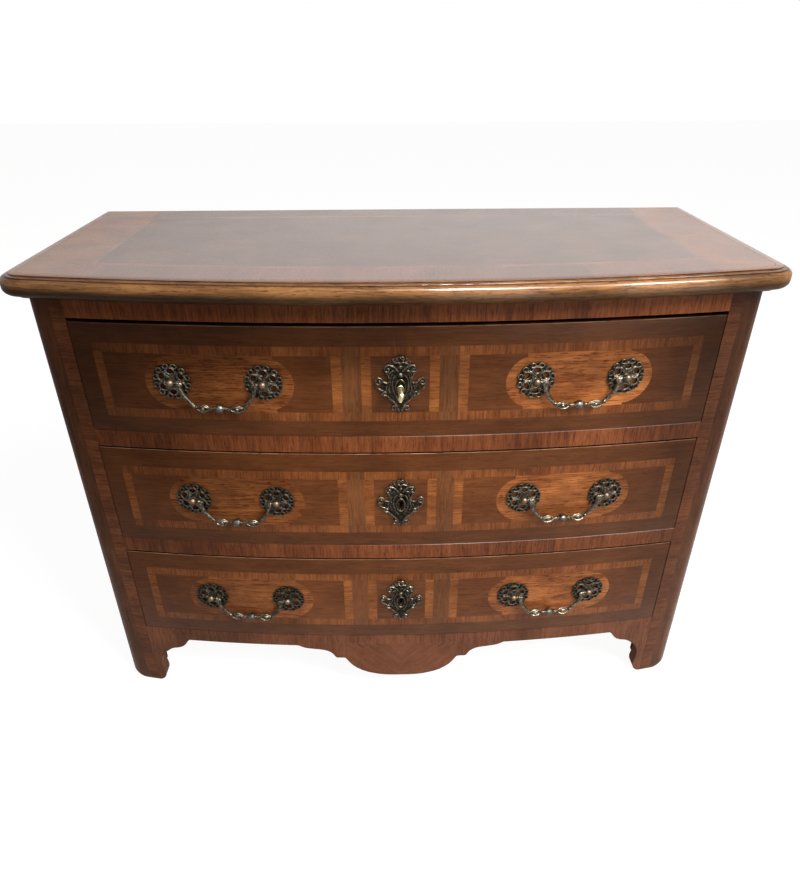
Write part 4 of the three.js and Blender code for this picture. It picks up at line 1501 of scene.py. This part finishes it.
@dataclass
class Rosette:
    """A pierced rosette with its ball-headed post."""

    radius: float = 0.0303
    lobes: int = 12
    holes: int = 6
    hole_circle: float = 0.0176
    hole_out: float = 0.0045
    hole_along: float = 0.0057
    first_hole: float = math.pi / 2
    plate_at: float = 0.0004
    plate_thick: float = 0.0014
    wreath: int = 9
    pivot_reach: float = 0.009
    neck: float = 0.0034
    ball: float = 0.0058
    bore: float = 0.0021
    bore_half: float = 0.012

    @staticmethod
    def at(out: float, angle: float, lift: float) -> Vector:
        """Returns a point at a radius and angle, lifted off the wood."""
        return Vector((out * math.cos(angle), -lift, out * math.sin(angle)))

    def plate(self, builder: Builder) -> None:
        """Adds the scalloped and pierced plate.

        Args:
            builder: Mesh to add it to.
        """
        count = self.lobes * 8
        rim = []
        for i in range(count):
            angle = 2 * math.pi * i / count
            swell = abs(math.sin(self.lobes * angle / 2)) ** 0.7
            rim.append(self.at(self.radius * (0.905 + 0.055 * swell), angle, self.plate_at))
        edges = builder.loop(rim)
        for i in range(self.holes):
            angle = 2 * math.pi * i / self.holes + self.first_hole
            centre = self.at(self.hole_circle, angle, self.plate_at)
            edges += builder.loop(ring(centre, self.hole_out, self.hole_along, 14, angle))
        faces = bmesh.ops.triangle_fill(builder.bm, use_beauty=True, edges=edges)["geom"]
        top = bmesh.ops.extrude_face_region(
            builder.bm, geom=[f for f in faces if isinstance(f, bmesh.types.BMFace)])["geom"]
        bmesh.ops.translate(builder.bm, vec=(0, -self.plate_thick, 0),
                            verts=[v for v in top if isinstance(v, bmesh.types.BMVert)])

    def ovals(self, builder: Builder, count: int, start: float, out: float, lift: float,
              size: tuple[float, float], thick: float, points: int = 14, sides: int = 6,
              ) -> None:
        """Adds a wreath of wire ovals.

        Args:
            builder: Mesh to add them to.
            count: Number of ovals.
            start: Angle of the first.
            out: Radius of the circle of their centres.
            lift: Height of the wire's axis off the wood.
            size: Half sizes of an oval, outwards and along the circle.
            thick: Radius of the wire.
            points: Points round an oval.
            sides: Faces round the wire.
        """
        for i in range(count):
            angle = 2 * math.pi * i / count + start
            path = ring(self.at(out, angle, lift), *size, points, angle)
            builder.tube(path, [thick] * points, sides=sides, closed=True)

    def wires(self, builder: Builder) -> None:
        """Adds the curls round the rim, the rings round the holes and the inner wreath.

        Args:
            builder: Mesh to add them to.
        """
        self.ovals(builder, self.lobes, math.pi / self.lobes, self.radius * 0.855, 0.0021,
                   (0.0035, 0.0042), 0.00092)
        for grow, lift, thick in mm((0.8, 2.7, 1.0), (2.6, 2.0, 0.6)):
            self.ovals(builder, self.holes, self.first_hole, self.hole_circle - 0.0002, lift,
                       (self.hole_out + grow, self.hole_along + grow), thick, points=20)
        self.ovals(builder, self.wreath, 0.2, 0.0082, 0.0042, (0.0021, 0.0018), 0.00075,
                   points=8, sides=5)
        for i in range(self.holes):
            spur = 2 * math.pi * (i + 0.5) / self.holes + self.first_hole
            for bend in (-1, 1):
                path = [self.at(r, spur + bend * turn, h) for r, turn, h in
                        ((0.0066, 0.30, 0.0036), (0.0100, 0.16, 0.0038),
                         (0.0135, -0.05, 0.0034), (0.0170, 0.03, 0.0032),
                         (0.0205, 0.10, 0.0026))]
                builder.tube(path, [0.0009, 0.0012, 0.0010, 0.0011, 0.0006], sides=6)

    def post(self) -> bpy.types.Mesh:
        """Makes the post with its ball head, bored for a bail's pin.

        Returns:
            Its mesh at the origin, facing -Y.
        """
        bead = [(self.ball * math.sin(a), self.pivot_reach - self.ball * math.cos(a))
                for a in (math.radians(d) for d in range(38, 176, 13))]
        base = mm((0, 0.6), (6.6, 0.6), (6.8, 2.6), (5.2, 3.6), (self.neck / MM, 4.1))
        builder = Builder()
        builder.round([*base, *bead, (0.0, self.pivot_reach + self.ball)], (0, 0, 0),
                      (0, -1, 0), 20)
        eye = Builder()
        eye.round([(0.0, -self.bore_half), (self.bore, -self.bore_half),
                   (self.bore, self.bore_half), (0.0, self.bore_half)],
                  (0, -self.pivot_reach, 0), (1, 0, 0), 12)
        return Piece.cut(builder.mesh("post"), eye.mesh("eye"))

    def mesh(self) -> bpy.types.Mesh:
        """Makes the whole rosette.

        Returns:
            Its mesh at the origin, facing -Y.
        """
        builder = Builder()
        self.plate(builder)
        self.wires(builder)
        builder.bm.from_mesh(self.post())
        return builder.mesh("rosette", 40)


@dataclass
class Bail:
    """A hanging bail: pins, curled leaves at its eyes, rod, two open knots and a ball."""

    half: float = 0.0715
    drop: float = 0.043
    pin: float = 0.0015
    ball: float = 0.0072
    knot_at: float = 0.375
    knot_half: float = 0.0108
    knot_bead: float = 0.0043
    eye_at: float = 0.800

    def knot(self, builder: Builder) -> None:
        """Adds the open leaf of wires round a bead.

        Args:
            builder: Mesh to add it to.
        """
        centre = Vector((self.half * self.knot_at, 0, -self.drop * 0.995))
        for sign in (-1, 1):
            for lift in (0.0020, -0.0024):
                path = [centre + Vector((s * self.knot_half, lift * (1 - s * s) ** 0.5,
                                         sign * 0.0046 * math.cos(s * math.pi / 2) ** 0.8))
                        for s in (-0.999, -0.8, -0.5, -0.2, 0.1, 0.4, 0.7, 0.9, 0.999)]
                radii = [r * MM for r in (0.9, 1.1, 1.3, 1.4, 1.4, 1.3, 1.1, 1.0, 0.9)]
                builder.tube(path, radii, sides=7)
        angles = [math.radians(a) for a in range(20, 180, 20)]
        profile = [(self.knot_bead * math.sin(a), -self.knot_bead * math.cos(a))
                   for a in angles]
        builder.round([(0.0, -self.knot_bead), *profile, (0.0, self.knot_bead)], centre,
                      (1, 0, 0), 12)

    def mesh(self) -> bpy.types.Mesh:
        """Makes the whole bail.

        Returns:
            Its mesh hanging below the origin, with the pins along X.
        """
        builder = Builder()
        line = [(1.06, 0.0), (0.94, 0.0), (0.875, 0.0), (0.835, 0.045), (0.815, 0.16),
                (0.790, 0.36), (0.72, 0.58), (0.62, 0.78), (0.54, 0.93), (0.45, 0.990),
                (0.36, 1.0), (0.28, 0.990), (0.19, 0.980), (0.115, 0.98), (0.0, 0.98)]
        curve = smooth([(self.half * a, 0, -self.drop * b) for a, b in line], 5)
        swells = ((0.875, 3.0), (0.84, 3.3), (0.812, 3.8), (0.80, 3.7), (0.76, 3.5),
                  (0.66, 3.2), (0.575, 3.1), (0.56, 3.9), (0.545, 3.1), (0.525, 1.4),
                  (0.50, 0.9), (0.25, 0.9), (0.225, 1.4), (0.21, 3.4), (0.190, 3.5),
                  (0.175, 2.3), (0.135, 2.3), (0.125, 3.7), (0.112, 3.8), (0.100, 2.6),
                  (0.095, 3.4), (0.085, 4.6), (0.065, 6.0), (0.035, 7.0))
        stops = [(1.06, self.pin), (0.90, self.pin), *((at, r * MM) for at, r in swells),
                 (0.0, self.ball)]
        dense: list[Vector] = []
        for a, b in zip(curve, curve[1:]):
            dense += [a, a.lerp(b, 0.5)]
        dense.append(curve[-1])
        radii = [self.width(p.x / self.half, stops) for p in dense]
        builder.tube(dense, radii, sides=12)
        self.knot(builder)
        for turn, radius, low in ((1.15, 0.0052, 0.0036), (-0.75, 0.0030, 0.0030)):
            eye = curl((self.half * self.eye_at, -0.0012, -low), -1.2 * turn, turn, radius,
                       0.0016, 16)
            builder.tube(eye, [0.0020 - 0.00006 * i for i in range(16)], sides=7)
        builder.mirror()
        return builder.mesh("bail", 40)

    @staticmethod
    def width(share: float, stops: Sequence[tuple[float, float]]) -> float:
        """Works out how thick the rod is.

        Args:
            share: Place along the bail, as a share of its half width.
            stops: Places and radii, from the pin to the middle.

        Returns:
            Its radius.
        """
        for (a, ra), (b, rb) in zip(stops, stops[1:]):
            if b <= share <= a:
                t = (a - share) / (a - b)
                t = t * t * (3 - 2 * t)
                return ra + (rb - ra) * t
        return stops[0][1] if share > stops[0][0] else stops[-1][1]


@dataclass
class Escutcheon:
    """A cartouche of scrolls round a keyhole."""

    keyhole: float = 0.0042
    slot: float = 0.0022
    slot_low: float = 0.014
    line_y: float = -0.0024

    def stroke(self, builder: Builder, points: Sequence[Vector], start: float, end: float,
               ) -> None:
        """Adds a tapering scroll.

        Args:
            builder: Mesh to add it to.
            points: Line that it follows.
            start: Its thickness at the start.
            end: Its thickness at the end.
        """
        count = len(points)
        radii = []
        for i in range(count):
            share = i / (count - 1)
            swell = math.sin(math.pi * min(1.0, 0.15 + share * 0.9))
            radii.append((start + (end - start) * share) * 0.70 + 0.0003 * swell)
        builder.tube(points, radii, sides=7)

    def mesh(self) -> bpy.types.Mesh:
        """Makes the scrolls and bosses.

        Returns:
            Their mesh at the origin, facing -Y.
        """
        def leaf(*points: tuple[float, float]) -> list[Vector]:
            """Returns a smooth line through points given as X and Z in millimetres."""
            return smooth([(x, self.line_y, z) for x, z in mm(*points)])

        def volute(x: float, z: float, start: float, turns: float, outer: float,
                   inner: float, count: int = 18) -> list[Vector]:
            """Returns a spiral whose centre and radii are given in millimetres."""
            return curl((x * MM, self.line_y, z * MM), start, turns, outer * MM, inner * MM,
                        count)

        builder = Builder()
        strokes = [
            # crest: small curled leaves over the boss
            (volute(3.2, 44, 1.9, -0.8, 3.2, 1, 12), 1.4, 0.9),
            (volute(8.8, 41.8, 1.6, -0.9, 3.3, 1, 12), 1.4, 0.9),
            (volute(13.6, 38.5, 1.2, -0.8, 2.4, 0.9, 12), 1.2, 0.8),
            (leaf((0, 36), (3.2, 38.5), (8.5, 37.5), (13, 35)), 1.5, 1),
            # C scroll from the boss out to the shoulder
            (leaf((3.5, 23.5), (8.5, 30), (15, 33.5), (21, 33), (24.3, 28.5)), 1.4, 2.1),
            (volute(20, 26.8, 0.5, -1.05, 4.6, 1.2), 1.9, 1.1),
            (leaf((22.8, 25.2), (20.5, 20), (17.8, 14), (17.2, 8), (20.5, 4.5),
                  (25.5, 6)), 1.6, 2),
            # side volute
            (leaf((25.5, 5.5), (29, 10.5), (34, 12.8), (37.8, 9.5)), 1.7, 2),
            (volute(33.7, 6, 0.75, -1.15, 4.9, 1.2), 1.9, 1.1),
            (leaf((37.5, 2.5), (35.5, -3.5), (31, -6.8), (26.2, -8.5)), 2, 1.3),
            # lower edge down to the pendant
            (leaf((29.2, -7.5), (28.5, -13), (25, -16.5), (20.5, -17.2)), 1.5, 2),
            (volute(23.2, -12.8, -1.9, 1.0, 3.8, 1.1), 1.6, 1),
            (leaf((21, -17), (16, -22.5), (11, -27.5), (6, -33), (4, -37)), 1.8, 1.4),
            (volute(9.8, -38.8, 2.6, -1.2, 4.6, 1.2), 1.5, 1),
            (leaf((5, -35), (3, -41), (0, -47.8)), 1.6, 1.2),
            # inner leaves beside the keyhole
            (leaf((6, 18), (10.5, 13), (12.5, 5), (11.8, -4), (9, -13), (4.5, -21.5)), 1.2, 1.6),
            (leaf((13, 19), (15, 12), (16, 2), (17.5, -6), (15, -14)), 1, 1.4),
            (leaf((20, 1), (21.5, -5), (19, -11)), 1.2, 1),
            (leaf((10, 25), (14, 23.5), (16.5, 19.5)), 1.3, 1),
        ]
        for points, start, end in strokes:
            self.stroke(builder, points, start * MM, end * MM)
        builder.mirror()
        builder.tube(ring((0, -0.0034, -0.0020), 0.0072, 0.0125, 28), [0.0011] * 28,
                     sides=7, closed=True)
        for at, steps, profile in (
                (0.0180, 16, mm((0, 6.6), (1.8, 6.3), (3.4, 5.2), (4.2, 3.4), (4.4, 0.4),
                                (0, 0.4))),
                (0.0310, 12, mm((0, 5.2), (1.2, 5), (2.4, 4), (2.8, 0.4), (0, 0.4))),
                (-0.0462, 10, mm((0, 4.2), (1, 4), (1.7, 3), (1.9, 0.6), (0, 0.6))),
                (0.0466, 10, mm((0, 4.6), (1.4, 4.3), (2.2, 3), (2.2, 0.6), (0, 0.6)))):
            builder.round(profile, (0, 0, at), (0, -1, 0), steps)
        return builder.mesh("escutcheon", 40)

    def plate(self) -> bpy.types.Mesh:
        """Makes the pierced plate behind the scrolls.

        Returns:
            Its mesh at the origin, facing -Y.
        """
        right = mm((0, 35), (6, 35.5), (12, 33.5), (19, 31.5), (22.2, 27), (20, 19), (17.2, 11),
                   (19, 4), (26, 4), (30, -2), (27, -9), (23, -16), (15, -22), (8, -30),
                   (4, -36), (0, -40))
        left = [(-x, z) for x, z in reversed(right[1:-1])]
        builder = Builder()
        edges = builder.loop((x, -0.0004, z) for x, z in right + left)
        builder.cap(edges)
        builder.cap(builder.shift(edges, (0, -0.0016, 0)))
        plate = builder.mesh("escutcheon_plate")
        return Piece.cut(plate, self.cutter())

    def cutter(self) -> bpy.types.Mesh:
        """Makes the keyhole's cutter: a round with a slot below it.

        Returns:
            Its mesh, lying along Y.
        """
        builder = Builder()
        start = math.asin(self.slot / self.keyhole)
        points = [(-self.slot, -0.05, -self.slot_low), (self.slot, -0.05, -self.slot_low)]
        for i in range(17):
            angle = -math.pi / 2 + start + (2 * math.pi - 2 * start) * i / 16
            points.append((self.keyhole * math.cos(angle), -0.05,
                           self.keyhole * math.sin(angle)))
        edges = builder.loop(points)
        builder.cap(edges)
        builder.cap(builder.shift(edges, (0, 0.1, 0)))
        return builder.mesh("keyhole")


@dataclass
class Key:
    """The brass key: shank, collar and a sculpted bow that stands upright."""

    tip: float = -0.260
    bow_length: float = 0.030
    bow_half: float = 0.011
    shank: float = 0.0025
    end: float = -0.1787
    bit: tuple[float, float, float] = (0.003, 0.007, 0.010)
    collar: float = 0.013
    ring_steps: int = 44
    ring_inset: tuple[float, float] = (0.0036, 0.0034)
    ring_thick: float = 0.0027
    leaf_height: float = 0.0078

    def mesh(self, height: float) -> bpy.types.Mesh:
        """Makes the key.

        Args:
            height: Height of the keyhole.

        Returns:
            Its mesh, in place.
        """
        builder = Builder()
        base = self.tip + self.bow_length - 0.004
        turned = mm((3.6, 12.2), (4.7, 10.8), (4.7, 9.8), (3.4, 8.6), (3.1, 7.2), (4.2, 5.8),
                    (4.7, 4.0), (4.1, 2.2), (2.8, 1.0), (0, 0))
        profile = [(0.0, self.end), (self.shank, self.end), (self.shank, base + self.collar),
                   *((r, base + along) for r, along in turned)]
        builder.round(profile, (0, 0, height), (0, 1, 0), 20)
        middle = self.tip + self.bow_length / 2
        inset_y, inset_z = self.ring_inset
        path, radii = [], []
        for i in range(self.ring_steps):
            angle = 2 * math.pi * i / self.ring_steps
            long = (self.bow_length / 2 - inset_y) * math.cos(angle)
            tall = (self.bow_half - inset_z) * math.sin(angle) * (1 + 0.22 * math.cos(angle))
            path.append(Vector((0.0009 * math.sin(3 * angle), middle + long, height + tall)))
            radii.append(self.ring_thick + 0.0006 * math.cos(5 * angle))
        builder.tube(path, radii, up=(1, 0, 0), sides=12, flatten=1.3, closed=True)
        for share, lean in ((0.28, 1), (0.0, -1), (-0.28, 1)):
            path = [Vector((lean * s * 0.0012, middle + self.bow_length * (share + s * 0.09),
                            height + s * self.leaf_height)) for s in (-1, -0.5, 0, 0.5, 1)]
            builder.tube(path, [0.0014, 0.0021, 0.0026, 0.0021, 0.0014], up=(1, 0, 0),
                         sides=10, flatten=1.35)
        builder.block(self.bit, (0, self.end - self.bit[1] / 2, height - self.bit[2] / 2))
        return builder.mesh("key", 40)


@dataclass
class Drawer:
    """One drawer with its front, handles, escutcheon and lock."""

    number: int
    top_gap: float
    side_gap: float = 0.0015
    bottom_gap: float = 0.0005
    front_thick: float = 0.026
    front_ease: float = 0.0011
    handle_at: float = 0.2805
    handle_height: float = 0.0945
    keyhole_height: float = 0.091
    post_spacing: float = 0.143

    @property
    def name(self) -> str:
        """The body's name."""
        return f"drawer_{self.number}"

    @property
    def at_keyhole(self) -> Matrix:
        """The move that takes a piece from the origin to the keyhole."""
        return Matrix.Translation(
            (0, CASE.front_y, CASE.opening(self.number) + self.keyhole_height))

    def place(self, x: float, y: float, z: float) -> Matrix:
        """Returns the matrix that lays a piece on the front at x."""
        return Matrix.Translation((x, y, z)) @ Matrix.Rotation(CASE.turn(x), 4, "Z")

    def front(self, finishes: Finishes, cutter: bpy.types.Mesh) -> None:
        """Builds the bowed front with its keyhole.

        Args:
            finishes: Materials of the chest.
            cutter: Mesh to cut out of it.
        """
        low = CASE.opening(self.number) + self.bottom_gap
        high = CASE.lintel(self.number) - self.top_gap
        ease, thick = self.front_ease, self.front_thick
        builder = Builder()
        builder.bowed([(thick, low), (ease, low), (ease * 0.3, low + ease * 0.3),
                       (0.0, low + ease), (0.0, high - ease), (ease * 0.3, high - ease * 0.3),
                       (ease, high), (thick, high)], CASE.opening_half - self.side_gap, 96)
        hole = cutter.copy()
        hole.transform(self.at_keyhole)
        name = f"{self.name}_front"
        Piece.add(f"{name}_fine", Piece.cut(builder.mesh(name), hole),
                  finishes.drawer_fronts[self.number], self.name, "drawer_veneer", name)

    def handles(self, finishes: Finishes, rosette: bpy.types.Mesh, bail: bpy.types.Mesh,
                ) -> None:
        """Places the rosettes and the bails.

        Args:
            finishes: Materials of the chest.
            rosette: Mesh of a rosette.
            bail: Mesh of a bail.
        """
        height = CASE.opening(self.number) + self.handle_height
        reach = Bail.half
        for side in Side:
            centre = side.value * self.handle_at
            turn = CASE.turn(centre)
            for place, shift in (("outer", side.value), ("inner", -side.value)):
                x = centre + shift * reach * math.cos(turn)
                mesh = rosette.copy()
                mesh.transform(self.place(x, CASE.bow_y(x), height))
                name = f"{self.name}_rosette_{side.label}_{place}"
                Piece.add(f"{name}_fine", mesh, finishes.bronze, self.name, "bronze", name)
            span = reach * math.cos(turn)
            seat = (CASE.bow_y(centre - span) + CASE.bow_y(centre + span)) / 2
            out = Rosette.pivot_reach
            mesh = bail.copy()
            mesh.transform(self.place(centre, 0, height))
            mesh.transform(Matrix.Translation(
                (out * math.sin(turn), seat - out * math.cos(turn), 0)))
            name = f"{self.name}_bail_{side.label}"
            Piece.add(f"{name}_fine", mesh, finishes.bail_bronze, name, "bronze", name)

    def escutcheon(self, finishes: Finishes, scrolls: bpy.types.Mesh,
                   plate: bpy.types.Mesh) -> None:
        """Places the escutcheon.

        Args:
            finishes: Materials of the chest.
            scrolls: Mesh of the scrolls.
            plate: Mesh of the plate.
        """
        name = f"{self.name}_escutcheon"
        for suffix, source, nodes in (("scrolls", scrolls, [name]), ("plate", plate, [])):
            mesh = source.copy()
            mesh.transform(self.at_keyhole)
            Piece.add(f"{name}_{suffix}", mesh, finishes.bronze, self.name, "bronze", *nodes)

    def box(self, finishes: Finishes) -> None:
        """Dresses the plain boards and the lock.

        Args:
            finishes: Materials of the chest.
        """
        for side in Side:
            Piece.dress(f"{self.name}_side_{side.label}", finishes.boards[Grain.ALONG_Y])
        for part in ("back", "bottom"):
            Piece.dress(f"{self.name}_{part}", finishes.boards[Grain.ALONG_X])
        Piece.dress(f"{self.name}_lock", finishes.iron)


# ---------------------------------------------------------------- stage

@dataclass(frozen=True)
class Lamp:
    """A soft lamp: its place, what it points at, its width and height, and its watts."""

    name: str
    at: tuple[float, float, float]
    aim: tuple[float, float, float]
    size: tuple[float, float]
    power: float
    gloss_only: bool = False

    def build(self) -> None:
        """Adds the lamp."""
        data = bpy.data.lights.new(self.name, "AREA")
        data.shape = "RECTANGLE"
        data.size, data.size_y = self.size
        data.energy = self.power
        made = put(self.name, data)
        made.location = self.at
        way = Vector(self.aim) - Vector(self.at)
        made.rotation_euler = way.to_track_quat("-Z", "Y").to_euler()
        made.visible_diffuse = not self.gloss_only


LAMPS = (
    Lamp("key_lamp", (1.9, -1.9, 3.1), (0, -0.1, 0.45), (1.3, 1.3), 150.0),
    Lamp("fill_lamp", (1.6, -3.0, 0.9), (0, 0, 0.3), (1.6, 1.0), 10.0),
    Lamp("back_lamp", (0.3, 3.2, 2.0), (0, 0, 1.0), (9.0, 2.6), 12.0),
    Lamp("window_lamp", (0.53, -1.9, 3.1), (0, -0.1, 0.45), (0.55, 1.0), 150.0,
         gloss_only=True),
)


@dataclass(frozen=True)
class Studio:
    """The camera, lamps, floor and background."""

    camera_at: tuple[float, float, float] = (-0.01902, -1.14398, 1.13045)
    pitch: float = 29.965
    yaw: float = -1.114
    roll: float = -0.19
    lens: float = 27.731
    sensor: float = 36.0
    ambient: float = 0.20
    floor_half: float = 12.0
    floor_tone: float = 0.86
    floor_glow: float = 1.15
    floor_share: float = 0.82

    def camera(self) -> None:
        """Adds the camera at the photograph's angle."""
        data = bpy.data.cameras.new("camera")
        data.lens = self.lens
        data.sensor_width = self.sensor
        data.sensor_fit = "AUTO"
        data.clip_start = 0.01
        made = put("camera", data)
        made.matrix_world = (
            Matrix.Translation(self.camera_at)
            @ Matrix.Rotation(math.radians(self.yaw), 4, "Z")
            @ Matrix.Rotation(math.radians(90 - self.pitch), 4, "X")
            @ Matrix.Rotation(math.radians(self.roll), 4, "Z"))
        bpy.context.scene.camera = made

    def world(self) -> None:
        """Sets an even light, with a white background for the camera and for gloss."""
        world = bpy.data.worlds.new("studio")
        bpy.context.scene.world = world
        world.use_nodes = True
        nodes = Nodes(world.node_tree)
        plain = nodes.node("ShaderNodeBackground", {
            "Color": (1.0, 0.97, 0.94), "Strength": self.ambient})
        white = nodes.node("ShaderNodeBackground", {"Color": (1.0, 1.0, 1.0), "Strength": 1.0})
        sees = nodes.seen("Is Glossy Ray", "Is Transmission Ray")
        nodes.end("ShaderNodeOutputWorld", nodes.blend(sees, plain, white))

    def floor(self) -> None:
        """Adds the pale floor, which keeps the chest's shadow and looks white elsewhere."""
        builder = Builder()
        bmesh.ops.create_grid(builder.bm, x_segments=1, y_segments=1, size=self.floor_half)
        mesh = builder.mesh("floor")
        material = bpy.data.materials.new("floor")
        material.use_nodes = True
        nodes = Nodes(material.node_tree)
        pale = nodes.node("ShaderNodeBsdfDiffuse", {"Color": (self.floor_tone,) * 3})
        glow = nodes.node("ShaderNodeEmission", {"Strength": self.floor_glow})
        sees = nodes.seen("Is Transmission Ray") * self.floor_share
        nodes.end("ShaderNodeOutputMaterial", nodes.blend(sees, pale, glow))
        mesh.materials.append(material)
        put("floor", mesh)

    def build(self) -> None:
        """Builds the whole stage."""
        self.camera()
        self.world()
        self.floor()
        for lamp in LAMPS:
            lamp.build()
        bpy.context.scene.view_settings.view_transform = "Standard"


def main() -> None:
    """Builds the chest and its stage."""
    logging.basicConfig(level=logging.INFO, format="%(name)s: %(message)s")
    Studio().build()
    finishes = Finishes()
    Top().build(finishes)
    Frontage().build(finishes)
    Carcass().build(finishes)
    rosette = Rosette().mesh()
    bail = Bail().mesh()
    plaque = Escutcheon()
    scrolls, plate, keyhole = plaque.mesh(), plaque.plate(), plaque.cutter()
    for number in DRAWERS:
        drawer = Drawer(number, TOP_GAPS[number])
        drawer.front(finishes, keyhole)
        drawer.handles(finishes, rosette, bail)
        drawer.escutcheon(finishes, scrolls, plate)
        drawer.box(finishes)
    height = CASE.opening(1) + Drawer.keyhole_height
    Piece.add("key_fine", Key().mesh(height), finishes.brass, "key", "key_brass", "key")
    Piece.dress("lock_bolt", finishes.iron)


if __name__ == "__main__":
    main()
